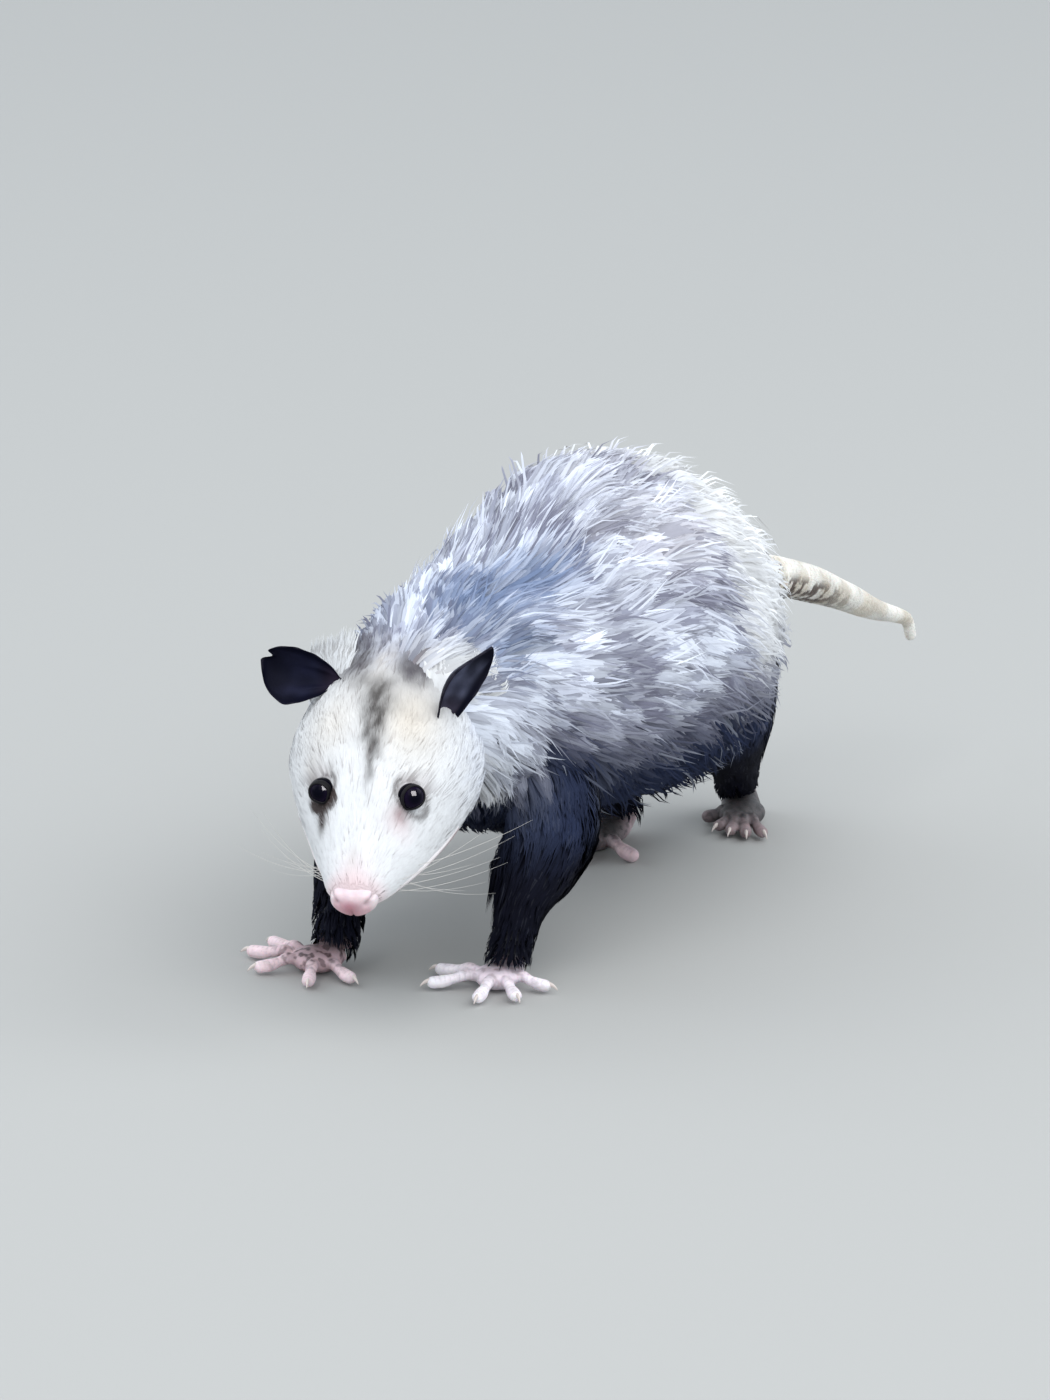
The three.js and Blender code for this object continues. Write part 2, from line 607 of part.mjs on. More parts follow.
// The locks behind a leg's upper part, pointing down it.
function legLocks(stations, grow) {
  const hint = vec(0, 1, 0);
  const outer = Math.sign(stations[1].p.x);
  return LEG_LOCKS.flatMap((row) =>
    row.turns.map((degrees) => {
      const frame = limbFrame(stations, hint, row.f);
      const turn = (outer < 0 ? degrees : 180 - degrees) * RAD;
      const out = frame.side.clone().multiplyScalar(Math.cos(turn)).addScaledVector(frame.up, Math.sin(turn));
      const skin = frame.middle
        .clone()
        .addScaledVector(frame.side, Math.cos(turn) * frame.a)
        .addScaledVector(frame.up, Math.sin(turn) * frame.b);
      const path = (f) => {
        const climb = (LEG_LOCK.sink + LEG_LOCK.rise) * Math.sin((clamp(f, 0, 1) * Math.PI) / 2);
        const p = skin.clone().addScaledVector(frame.way, LEG_LOCK.length * f);
        return { p: p.addScaledVector(out, climb - LEG_LOCK.sink), out };
      };
      return lock(path, LEG_LOCK.width, LEG_LOCK.thick, grow);
    }),
  );
}

const legLimb = (name, grow = 0) => limb(LEGS[name], vec(0, 1, 0), 10, 9, grow);
const legSolid = (name, grow = 0) => joined([legLimb(name, grow), ...legLocks(LEGS[name], grow)]);

// Whether a point lies inside the upper part of a leg.
function insideLeg(point) {
  return Object.values(LEGS).some((stations) =>
    [0, 0.15, 0.3, 0.45].some((f) => {
      const frame = limbFrame(stations, vec(0, 1, 0), f);
      const away = point.clone().sub(frame.middle);
      const wide = away.dot(frame.side) / frame.a;
      const deep = away.dot(frame.up) / frame.b;
      return Math.abs(away.dot(frame.way)) < 12 && wide * wide + deep * deep < 1;
    }),
  );
}

// A toe from its root to its tip on the floor, with a short curved claw.
function toe(root, tip, radius, clawed) {
  const way = tip.clone().sub(root).normalize();
  const lifted = (p, ahead, rise) => p.clone().addScaledVector(way, ahead).add(vec(0, 0, rise));
  const stations = [
    { p: root, a: radius * 1.05, b: radius * 0.9 },
    { p: lifted(root.clone().lerp(tip, 0.5), 0, radius * 0.55), a: radius * 0.95, b: radius * 0.95 },
    { p: lifted(tip, -radius * 0.6, 0), a: radius * 1.05, b: radius },
    { p: tip, a: radius * 0.55, b: radius * 0.5 },
  ];
  const upright = vec(0, 0, 1);
  const pad = limb(stations, upright, 6, 3, 0, lifted(tip, radius * 0.35, 0));
  if (!clawed) return pad;
  const claw = [
    { p: lifted(tip, -radius * 0.6, radius * 0.35), a: 1.2, b: 1.5 },
    { p: lifted(tip, CLAW_LENGTH * 0.35, radius * 0.4), a: 1, b: 1.2 },
  ];
  return pad.add(limb(claw, upright, 3, 1, 0, lifted(tip, CLAW_LENGTH, -0.8)));
}

function footSolid(name) {
  const foot = FEET[name];
  const [wide, , high] = foot.palmSize;
  const sole = [
    { p: foot.heel, a: foot.heelSize[0], b: foot.heelSize[1] },
    { p: foot.heel.clone().lerp(foot.palm, 0.5), a: wide * 0.9, b: high * 1.1 },
    { p: foot.palm, a: wide * 0.95, b: high * 0.9 },
  ];
  const world = [vec(1, 0, 0), vec(0, 1, 0), vec(0, 0, 1)];
  const pieces = [blob(foot.palm, foot.palmSize, world, 8), limb(sole, vec(0, 0, 1), 8, 2)];
  foot.toes.forEach((tip, i) => {
    const way = tip.clone().sub(foot.palm).setZ(0).normalize();
    const root = foot.palm.clone().addScaledVector(way, TOE_ROOT.out).setZ(TOE_ROOT.z);
    const thumb = foot.thumb && i === 0;
    pieces.push(toe(root, tip, foot.toeRadius * (thumb ? THUMB_SWELL : 1), !thumb));
  });
  return joined(pieces);
}

// Tail

function tailSolid(grow = 0) {
  const stations = TAIL.map((s) => ({ p: vec(s.x, s.y, s.z), a: s.r, b: s.r }));
  return limb(stations, vec(0, 0, 1), 10, 20, grow);
}

function tailLength(tail, from, to) {
  const room = new THREE.BoxGeometry(TAIL_ROOM.width, to - from - GAP, TAIL_ROOM.height);
  return tail.intersect(solidOf(room, new THREE.Matrix4().makeTranslation(0, (from + to) / 2, TAIL_ROOM.z)));
}

// Assembly

const material = (color, roughness) => new THREE.MeshStandardMaterial({ color, roughness, metalness: 0 });
const LOOKS = {
  coat: () => material(0x8d8d93, 0.9),
  face: () => material(0xe3ddd1, 0.9),
  darkFur: () => material(0x17171c, 0.9),
  pinkSkin: () => material(0xdba49f, 0.55),
  earSkin: () => material(0x0d0d10, 0.5),
  eye: () => material(0x050506, 0.05),
  tailSkin: () => material(0xd9ccb2, 0.65),
};

const opossum = new THREE.Group();

function place(name, solid, look) {
  const mesh = largest(solid.simplify(SLIVER)).getMesh();
  const positions = new Float32Array(mesh.numVert * 3);
  for (let i = 0; i < mesh.numVert; i += 1) {
    const from = i * mesh.numProp;
    positions.set(mesh.vertProperties.subarray(from, from + 3), i * 3);
  }
  const geometry = new THREE.BufferGeometry();
  geometry.setAttribute("position", new THREE.BufferAttribute(positions, 3));
  geometry.setIndex(new THREE.BufferAttribute(mesh.triVerts, 1));
  geometry.computeVertexNormals();
  const piece = new THREE.Mesh(geometry, look());
  piece.name = name;
  opossum.add(piece);
}

const floorSlab = solidOf(
  new THREE.BoxGeometry(FLOOR_SLAB.width, FLOOR_SLAB.length, FLOOR_SLAB.depth),
  new THREE.Matrix4().makeTranslation(0, FLOOR_SLAB.y, -FLOOR_SLAB.depth / 2),
);
const headRoom = headSolid(GAP);
const earRoom = joined(Object.keys(EARS).map((name) => earSolid(name, GAP * 2).hull()));
const legRoom = joined(Object.keys(LEGS).map((name) => legSolid(name, GAP)));

const torsoCore = (grow = 0) => trunkSolid(NECK_CUT + GAP / 2, RUMP_POLE, CORE, 12, grow);
const neckCore = (grow = 0) => trunkSolid(TRUNK_START, NECK_CUT - GAP / 2, CORE, 3, grow);
const neckCoat = (grow = 0) => neckCore(grow).add(trunkLocks(NECK_ROWS, 7, insideLeg, grow));
const torsoRoom = torsoCore(GAP);

const torsoLocks = trunkLocks(TORSO_ROWS, 11, insideLeg).subtract(legRoom).subtract(tailSolid(GAP));
place("torso", torsoCore().add(torsoLocks).subtract(neckCoat(GAP)), LOOKS.coat);
place("neck", neckCoat().subtract(headRoom).subtract(earRoom).subtract(legRoom), LOOKS.coat);

for (const name of Object.keys(LEGS)) {
  const footName = name.replace("leg", "foot");
  place(name, legSolid(name).subtract(torsoRoom).subtract(neckCore(GAP)), LOOKS.darkFur);
  place(footName, footSolid(footName).subtract(floorSlab).subtract(legSolid(name, GAP)), LOOKS.pinkSkin);
}

const eyes = { eye_left: eyeFrame(1), eye_right: eyeFrame(-1) };
const headForms = [headSolid()];
const headHollows = [mouthSlit(), noseSolid(GAP)];
for (const side of [1, -1]) headForms.push(lipRoll(side, UPPER_LIP), lipRoll(side, LOWER_LIP));
for (const eye of Object.values(eyes)) {
  headForms.push(eye.ball(LID_RADIUS));
  headHollows.push(eye.ball(EYE_RADIUS + GAP), eye.opening);
}
place("head", joined(headForms).subtract(joined(headHollows)), LOOKS.face);
place("nose", noseSolid(), LOOKS.pinkSkin);
for (const [name, eye] of Object.entries(eyes)) place(name, eye.ball(EYE_RADIUS), LOOKS.eye);
for (const name of Object.keys(EARS)) place(name, earSolid(name).subtract(headRoom), LOOKS.earSkin);

const tail = tailSolid().subtract(torsoRoom);
place("tail_base", tailLength(tail, TAIL[0].y - 20, TAIL_CUTS[0]), LOOKS.tailSkin);
place("tail_middle", tailLength(tail, ...TAIL_CUTS), LOOKS.tailSkin);
place("tail_tip", tailLength(tail, TAIL_CUTS[1], TAIL.at(-1).y + 60), LOOKS.tailSkin);

// The origin goes to the floor under the middle of the whole figure.
const box = new THREE.Box3().setFromObject(opossum);
opossum.position.set(-(box.min.x + box.max.x) / 2, -(box.min.y + box.max.y) / 2, -box.min.z);

export default opossum;
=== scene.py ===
"""A life-size Virginia opossum in mid-step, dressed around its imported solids.

Sizes are millimetres in the body's own frame (head to -Y, tail to +Y, the animal's left side to +X)
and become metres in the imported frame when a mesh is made. Head, neck, trunk and legs share one
fused skin. The coat is solid mesh tufts that grow from it and carry the same markings.
"""

from __future__ import annotations

import logging
import math
from abc import ABC, abstractmethod
from dataclasses import dataclass, field, replace
from enum import Enum
from functools import partial
from typing import Callable, Sequence

import bpy
import numpy as np
from mathutils import Matrix, Vector

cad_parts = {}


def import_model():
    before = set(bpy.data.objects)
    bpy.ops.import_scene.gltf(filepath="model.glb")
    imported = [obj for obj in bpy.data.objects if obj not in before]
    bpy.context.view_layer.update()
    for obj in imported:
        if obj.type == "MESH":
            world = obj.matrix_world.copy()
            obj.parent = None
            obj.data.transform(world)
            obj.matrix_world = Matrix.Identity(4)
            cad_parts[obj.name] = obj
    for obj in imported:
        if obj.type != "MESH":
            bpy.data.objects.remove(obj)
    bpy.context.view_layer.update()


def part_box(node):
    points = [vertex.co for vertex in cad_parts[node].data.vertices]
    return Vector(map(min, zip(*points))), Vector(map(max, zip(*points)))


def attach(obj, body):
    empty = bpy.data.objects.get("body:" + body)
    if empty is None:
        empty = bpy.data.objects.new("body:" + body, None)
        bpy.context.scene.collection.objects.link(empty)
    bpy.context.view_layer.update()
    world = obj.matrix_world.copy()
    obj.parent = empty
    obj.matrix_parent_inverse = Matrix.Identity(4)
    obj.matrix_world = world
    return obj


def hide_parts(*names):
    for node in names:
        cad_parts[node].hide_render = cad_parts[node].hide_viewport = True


log = logging.getLogger("opossum")

Array = np.ndarray
Point = tuple[float, float, float]
Colour = Point
Socket = bpy.types.NodeSocket
Piece = bpy.types.Object
MM = 0.001
TURN = 2 * math.pi
BAKE_MAP = "OFBake"
BAKE_PATCH = 0.003  # size of one tuft's patch on the bake map
LAST_RING = 0.72  # share of a tuft's length at which its last ring stands
LINING = 0.002  # metres that light wanders under bare skin
COLOUR = "Marking"  # the colour attribute that skin and coat share


# Numbers and noise


def smooth(x: Array, low: float, high: float) -> Array:
    """A soft step: 0 below low, 1 above high, a cubic between them."""
    u = np.clip((x - low) / (high - low), 0, 1)
    return u * u * (3 - 2 * u)


def bell(x: Array, middle: float, width: float) -> Array:
    """A bell curve of height 1: e to the minus square of the distance over the width."""
    return np.exp(-(((x - middle) / width) ** 2))


def unit(v: Array) -> Array:
    """Vectors brought to length 1."""
    return v / np.maximum(np.linalg.norm(v, axis=-1, keepdims=True), 1e-9)


def mixed(a: Array | Colour, b: Array | Colour, share: Array) -> Array:
    """Colours a turned into b by a share from 0 to 1."""
    share = np.asarray(share)[..., None]
    return np.asarray(a) * (1 - share) + np.asarray(b) * share


def layered(base: Array | Colour, *layers: tuple[Array | Colour, Array]) -> Array:
    """A base colour turned into one colour after another, each by its share."""
    for colour, share in layers:
        base = mixed(base, colour, share)
    return base


def ripple(points: Array, size: float, seed: int) -> Array:
    """Soft noise from -1 to 1: a sum of plane waves in random directions, about size mm long."""
    rng = np.random.default_rng(seed)
    waves = unit(rng.normal(size=(9, 3))) * (TURN / size) * rng.uniform(0.6, 1.5, (9, 1))
    phases = rng.uniform(0, TURN, 9)
    return np.clip(np.sin(points @ waves.T + phases).sum(axis=-1) / 3.4, -1, 1)


def aimed(yaw: float, pitch: float) -> Array:
    """A direction turned from -Y towards +X by yaw and tipped down by pitch."""
    level = math.cos(pitch)
    return np.array([math.sin(yaw) * level, -math.cos(yaw) * level, -math.sin(pitch)])


def angles(count: int) -> Array:
    """So many angles spread evenly round a full turn."""
    return np.arange(count) / count * TURN


class Stations:
    """Named sizes at a few places along a body part, joined by a smooth curve.

    Each column is a cubic Hermite curve, with a row's slope that of the chord between its neighbours.
    """

    def __init__(self, columns: str, rows: Sequence[tuple[float, ...]]) -> None:
        """Keeps the rows.

        Args:
            columns: names of the columns, the first being the place along the part.
            rows: one tuple for each station.
        """
        self.names = columns.split()
        self.rows = np.array(rows, float)
        self.keys = self.rows[:, 0]
        count = len(self.keys)
        before = np.maximum(np.arange(count) - 1, 0)
        after = np.minimum(np.arange(count) + 1, count - 1)
        run = (self.keys[after] - self.keys[before])[:, None]
        self.slopes = (self.rows[after] - self.rows[before]) / run

    def at(self, name: str, place: Array) -> Array:
        """The column name at each place, held at the end values beyond the ends."""
        column = self.names.index(name)
        x = np.clip(place, self.keys[0], self.keys[-1])
        i = np.clip(np.searchsorted(self.keys, x, side="right") - 1, 0, len(self.keys) - 2)
        step = self.keys[i + 1] - self.keys[i]
        u = (x - self.keys[i]) / step
        low, high = self.rows[i, column], self.rows[i + 1, column]
        bend_low, bend_high = self.slopes[i, column], self.slopes[i + 1, column]
        blend = u * u * (3 - 2 * u)
        bend = bend_low * step * (u**3 - 2 * u * u + u) + bend_high * step * (u**3 - u * u)
        return low * (1 - blend) + high * blend + bend


# The body's sizes

TRUNK = Stations("y x z w up down coat", [
    (-60, 8, 138, 28, 25, 27, 10), (-32, 4, 136, 35, 33, 36, 14), (5, 0, 130, 46, 46, 45, 17),
    (45, 0, 127, 55, 56, 52, 19), (95, 0, 129, 60, 77, 58, 22), (145, 0, 130, 61, 74, 61, 23),
    (195, -1, 127, 49, 60, 55, 22), (235, -3, 121, 33, 46, 45, 19), (262, -4, 116, 22, 37, 34, 17),
])
TRUNK_START = -60.0
RUMP_START = 246.0  # where the body starts to close
RUMP_ROUND = 33.0  # radius of the quarter turn that closes it
RUMP_POLE = RUMP_START + RUMP_ROUND * math.pi / 2
LOW_WIDTH = 0.1  # how much the trunk's ovals widen downwards
HANG = np.array([0.0, 0.35, -0.94])  # how hair falls past the end of the rump
UPWARDS = np.array([0.0, 0.0, 1.0])
BACKWARDS = np.array([0.0, 1.0, 0.0])

HEAD = Stations("t top bottom w wide fur", [
    (2, 4, -9, 10, -3, 0.5), (9, 7.5, -15, 14, -6, 1.2), (20, 11, -21, 18, -10, 2.5),
    (34, 15.5, -26, 23, -14, 5), (46, 21.5, -30, 27.5, -14, 7.5), (58, 26, -34, 31.5, -12, 10.5),
    (72, 29, -37, 35, -9, 13), (88, 30.5, -39, 36, -7, 14), (104, 30, -38, 33, -6, 13),
    (120, 27, -35, 28, -5, 12),
])
CROWN_CLOSE = 0.6  # how much shorter the fur is on the crown
HEAD_START = 2.0
HEAD_END = 132.0
HEAD_ROUND = 26.0  # length over which the head's back closes
BARE_HEAD = 0.3  # how much of the face fur's depth the bare head already fills
NOSE_TIP = np.array([36.4, -135.0, 72.0])
HEAD_YAW = math.radians(22.3)
HEAD_PITCH = math.radians(36.2)
HEAD_ROLL = math.radians(4)
EYE_AT = (50.0, 21.2, 15.2)  # t, aside and up
EYE_LOOK = (0.5, 0.55, 0.67)  # ahead, outwards and up
EYE_RADIUS = 6.4

LIMBS = {
    "foreleg_left": [
        (0, 36, 16, 112, 20, 30), (1, 46, 20, 90, 20, 30), (2, 51, 18, 70, 18, 29), (3, 51, 8, 52, 15, 22),
        (4, 49, -3, 36, 11, 13), (5, 48, -10, 13, 9.5, 10.5),
    ],
    "foreleg_right": [
        (0, -36, 14, 112, 20, 30), (1, -46, 14, 88, 20, 28), (2, -49, 6, 64, 17, 24),
        (3, -40, -22, 40, 13, 17), (4, -27, -46, 13, 10, 10.5),
    ],
    "hindleg_left": [
        (0, 28, 215, 112, 22, 34), (1, 34, 208, 88, 20, 30), (2, 26, 228, 66, 16, 24),
        (3, 10, 262, 42, 12, 15), (4, -6, 294, 17, 9, 10),
    ],
    "hindleg_right": [
        (0, -34, 226, 118, 24, 38), (1, -46, 200, 88, 23, 34), (2, -46, 192, 62, 18, 25),
        (3, -38, 208, 40, 13, 16), (4, -32, 224, 17, 10, 10.5),
    ],
}
BARE_LIMB = 0.8  # a leg's bare radius against its coat's
CLEAR = 1.5  # no hair hangs lower over the floor

TAIL = Stations("k x y z r", [
    (0, -2, 250, 127, 12), (1, -2, 262, 128, 12), (2, -1, 288, 127, 11.6), (3, 0, 312, 123, 10.2),
    (4, 0, 345, 112, 9.2), (5, 0, 380, 98, 7.6), (6, 0, 412, 84, 5.6), (7, 0, 440, 74, 3.9),
    (8, 0, 450, 69, 3.2), (9, 0, 455, 60, 2.9),
])


@dataclass(frozen=True)
class EarPlan:
    """Where an ear sits on the head, the way it points and its hollow faces, and its outline."""

    root: Point  # t, side and up
    points: Point  # ahead, side and up
    hollow: Point
    outline: Stations  # mm from the root, and where both edges run beside the middle line
    notch: float  # depth in mm of the cut in its end
    middle: Colour  # the skin inside its rim, lighter on the left ear as a painted sheen


EARS = {
    "ear_left": EarPlan(
        (99, 34, 20), (-0.6, 0.5, 0.62), (0.633, 0.774, 0.03),
        Stations("mm low high", [
            (-9, 2, 8), (-3, -2.5, 12), (3, -3, 16), (10, -3, 19.5), (17, -3.6, 20), (23, -5, 14.8),
            (29, -4, 7.4), (33, -1.8, 3), (35.2, 0.4, 0.7),
        ]),
        0.0,
        # a lighter slate middle: painted sheen on this ear's skin
        (0.085, 0.092, 0.145),
    ),
    "ear_right": EarPlan(
        (106, -29, 25), (-0.1, -0.97, 0.12), (0.59, -0.1, 0.79),
        Stations("mm low high", [
            (-14, -3, 3), (-7.5, -3.5, 3), (-3.3, -7, 2.5), (1, -9.7, 6.6), (6, -11.8, 9.6),
            (11, -12.9, 12.4), (17, -13.4, 14), (23, -12.7, 11.6), (28, -10.6, 6.8), (30.8, -8.4, 1),
            (32.4, -4.2, -3.8),
        ]),
        5.0,
        (0.010, 0.011, 0.028),
    ),
}


# Surfaces that hair grows from


class Hide(ABC):
    """A part of the body as a surface: along it in mm, round it in radians, outwards in coats.

    share 0 is bare skin and share 1 the tips of a full coat.
    """

    start: float
    end: float

    @abstractmethod
    def point(self, along: Array, turn: Array, share: Array) -> Array:
        """Points in the body's frame, in mm."""

    def out(self, along: Array, turn: Array, share: Array) -> Array:
        """The way out of the coat: from a little deeper to a little higher."""
        return unit(self.point(along, turn, share + 0.25) - self.point(along, turn, share - 0.25))

    def steps(self, along: Array, turn: Array) -> tuple[Array, Array]:
        """How many mm one unit along, and one radian round, cover on the skin."""
        half = np.full_like(along, 0.5)
        ahead = self.point(along + 1, turn, half) - self.point(along - 1, turn, half)
        round_it = self.point(along, turn + 0.02, half) - self.point(along, turn - 0.02, half)
        per_along = np.maximum(np.linalg.norm(ahead, axis=-1) / 2, 0.6)
        return per_along, np.maximum(np.linalg.norm(round_it, axis=-1) / 0.04, 2.0)

    def chart(self, along: Array, turn: Array) -> Array:
        """The place of each root on an unwrap of the skin, from 0 to 1 both ways."""
        round_it = (turn / TURN) % 1.0
        down = np.clip((along - self.start) / (self.end - self.start), 0, 1)
        return np.stack([0.01 + 0.98 * round_it, 0.01 + 0.98 * down], axis=-1)

    def skin_grid(self, rings: int, sides: int, first: float = 0.0) -> Array:
        """Bare skin from a share of the length on: a grid of points, rings along by sides round."""
        start = self.start + first * (self.end - self.start)
        along = np.linspace(start, self.end, rings)[:, None] + np.zeros(sides)
        turn = np.zeros(rings)[:, None] + angles(sides)
        return self.point(along, turn, np.zeros_like(along))


class Trunk(Hide):
    """Neck, body and rump: ovals along the back that close over the rump as a quarter turn."""

    start, end = TRUNK_START, RUMP_POLE - 1.0

    def point(self, along: Array, turn: Array, share: Array) -> Array:
        """An oval of the table's sizes about its middle, the coat's depth times share outside it."""
        last = RUMP_POLE - 7.0  # hair that runs further hangs down
        past = np.maximum(along - last, 0) * (share > 0)
        s = np.where(share > 0, np.minimum(along, last), along)
        phi = np.clip((s - RUMP_START) / RUMP_ROUND, 0, math.pi / 2)
        y = np.minimum(s, RUMP_START) + RUMP_ROUND * np.sin(phi)
        lift = TRUNK.at("coat", y) * share
        high = np.where(np.sin(turn) > 0, TRUNK.at("up", y), TRUNK.at("down", y)) + lift
        wide = (TRUNK.at("w", y) + lift) * (1 - LOW_WIDTH * np.sin(turn))
        x = TRUNK.at("x", y) + np.cos(turn) * wide * np.cos(phi)
        z = TRUNK.at("z", y) + np.sin(turn) * high * np.cos(phi)
        front = np.minimum(s - TRUNK_START, 0)  # hair may start a little ahead of the first oval
        return np.stack([x, y + lift * np.sin(phi) + front, z], axis=-1) + past[..., None] * HANG

    def holds(self, p: Array) -> Array:
        """Whether points lie inside the bare trunk."""
        y = np.clip(p[..., 1], TRUNK_START, RUMP_START + 20)
        wide = (p[..., 0] - TRUNK.at("x", y)) / TRUNK.at("w", y)
        rise = p[..., 2] - TRUNK.at("z", y)
        high = rise / np.where(rise > 0, TRUNK.at("up", y), TRUNK.at("down", y))
        return (wide**2 + high**2 < 1) & (np.abs(p[..., 1] - y) < 2)


class Skull(Hide):
    """The head in its own frame: ovals from the nose back, turned and tipped onto the neck."""

    start, end = HEAD_START, HEAD_END - 2.0

    def __init__(self) -> None:
        """Works out the head's axes from its yaw, pitch and roll."""
        level = np.array([math.cos(HEAD_YAW), math.sin(HEAD_YAW), 0])
        self.ahead = aimed(HEAD_YAW, HEAD_PITCH)
        rise = np.cross(self.ahead, level)
        self.side = level * math.cos(HEAD_ROLL) + rise * math.sin(HEAD_ROLL)
        self.up = np.cross(self.ahead, self.side)

    def way(self, ahead: float, side: float, up: float) -> Array:
        """A direction given ahead, to the animal's left and up."""
        return self.ahead * ahead + self.side * side + self.up * up

    def place(self, t: Array, side: Array, up: Array) -> Array:
        """A point given back from the nose tip, to the left and up."""
        steps = np.stack(np.broadcast_arrays(-np.asarray(t, float), side, up), axis=-1)
        return NOSE_TIP + steps @ np.stack([self.ahead, self.side, self.up])

    def locate(self, p: Array) -> tuple[Array, Array, Array]:
        """The head's own t, side and up of points in the body's frame."""
        away = p - NOSE_TIP
        return -(away @ self.ahead), away @ self.side, away @ self.up

    def point(self, along: Array, turn: Array, share: Array) -> Array:
        """An oval about the widest height; the back closes as a half circle, less so for hair."""
        past = np.clip((along - (HEAD_END - HEAD_ROUND)) / HEAD_ROUND, 0, 1)
        close = np.sqrt(1 - (past * (1 - 0.45 * np.clip(share * 3, 0, 1))) ** 2)
        grown = BARE_HEAD + (1 - BARE_HEAD) * share
        lift = HEAD.at("fur", along) * grown * (1 - CROWN_CLOSE * np.maximum(0, np.sin(turn)))
        middle = HEAD.at("wide", along)
        top, bottom = HEAD.at("top", along) - middle, middle - HEAD.at("bottom", along)
        reach = np.where(np.sin(turn) > 0, top, bottom)
        side = np.cos(turn) * (HEAD.at("w", along) * close + lift)
        return self.place(along, side, middle + np.sin(turn) * (reach * close + lift))

    def holds(self, p: Array, ease: float = 1.0) -> Array:
        """Whether points lie inside the bare head."""
        t, side, up = self.locate(p)
        middle = HEAD.at("wide", t)
        rise = up - middle
        top, bottom = HEAD.at("top", t) - middle, middle - HEAD.at("bottom", t)
        high = rise / np.where(rise > 0, top, bottom)
        inside = (side / HEAD.at("w", t)) ** 2 + high**2 < ease
        return inside & (t > 0) & (t < HEAD_END - 6)


class Limb(Hide):
    """A leg, toe or sole: ovals along a smooth curve through its stations.

    The sections turn half as much as the limb bends, so that none cross at a joint.
    """

    def __init__(self, rows: Sequence[tuple[float, ...]], hint: Array, bare: float = 1.0) -> None:
        """Keeps the stations.

        Args:
            rows: k, x, y, z, half width a and half depth b of each station.
            hint: the way along which the depth b lies.
            bare: radius of bare skin as a share of the stations' radius.
        """
        self.table = Stations("k x y z a b", rows)
        self.hint = hint
        self.bare = bare
        self.start = 0.0
        spine = self.middle(np.linspace(0, len(rows) - 1, 60))
        self.end = float(np.linalg.norm(np.diff(spine, axis=0), axis=1).sum())
        self.per_mm = (len(rows) - 1) / self.end
        self.chord = unit(spine[-1] - spine[0])

    def middle(self, k: Array) -> Array:
        """Points of the middle line at station numbers k."""
        return np.stack([self.table.at(axis, k) for axis in "xyz"], axis=-1)

    def section(self, k: Array) -> tuple[Array, Array, Array]:
        """The way along, the side and the depth direction at station numbers k."""
        last = len(self.table.keys) - 1
        ahead, behind = np.minimum(k + 0.02, last), np.maximum(k - 0.02, 0)
        way = unit(unit(self.middle(ahead) - self.middle(behind)) + self.chord)
        side = unit(np.cross(np.broadcast_to(self.hint, way.shape), way))
        return way, side, np.cross(way, side)

    def point(self, along: Array, turn: Array, share: Array) -> Array:
        """An oval of half width a and half depth b, grown from bare skin by share."""
        k = np.asarray(along) * self.per_mm
        way, side, deep = self.section(k)
        grown = self.bare + (1 - self.bare) * share
        across = np.cos(turn) * self.table.at("a", k) * grown
        depth = np.sin(turn) * self.table.at("b", k) * grown
        beyond = k - np.clip(k, 0, len(self.table.keys) - 1)
        middle = self.middle(k) + way * (beyond / self.per_mm)[..., None]
        return middle + side * across[..., None] + deep * depth[..., None]

    def holds(self, p: Array) -> Array:
        """Whether points lie inside the bare limb, tested against 24 of its sections."""
        k = np.linspace(0, len(self.table.keys) - 1, 24)
        way, side, deep = self.section(k)
        away = p[:, None, :] - self.middle(k)
        wide = np.einsum("nkc,kc->nk", away, side) / (self.table.at("a", k) * self.bare)
        high = np.einsum("nkc,kc->nk", away, deep) / (self.table.at("b", k) * self.bare)
        along = np.abs(np.einsum("nkc,kc->nk", away, way)) < self.end / 24
        return ((wide**2 + high**2 < 0.95) & along).any(axis=1)


SKULL = Skull()
TRUNK_HIDE = Trunk()
LEG_HIDES = {name: Limb(rows, BACKWARDS, BARE_LIMB) for name, rows in LIMBS.items()}
HEAD_AXES = np.stack([SKULL.side, SKULL.ahead, SKULL.up])


# Markings


@dataclass(frozen=True)
class Dab:
    """A soft spot of one colour on the coat: its middle, half sizes, colour and strength."""

    middle: Point
    size: Point
    colour: str
    strength: float

    def share(self, p: Array) -> Array:
        """Its strength at each point, a bell of the distance over its size."""
        away = (p - np.array(self.middle)) / np.array(self.size)
        return self.strength * np.exp(-(away**2).sum(axis=-1))


def dabs_of(*rows: tuple[float | str, ...]) -> tuple[Dab, ...]:
    """Soft spots from rows of middle, half sizes, colour and strength."""
    return tuple(Dab(row[:3], row[3:6], *row[6:]) for row in rows)


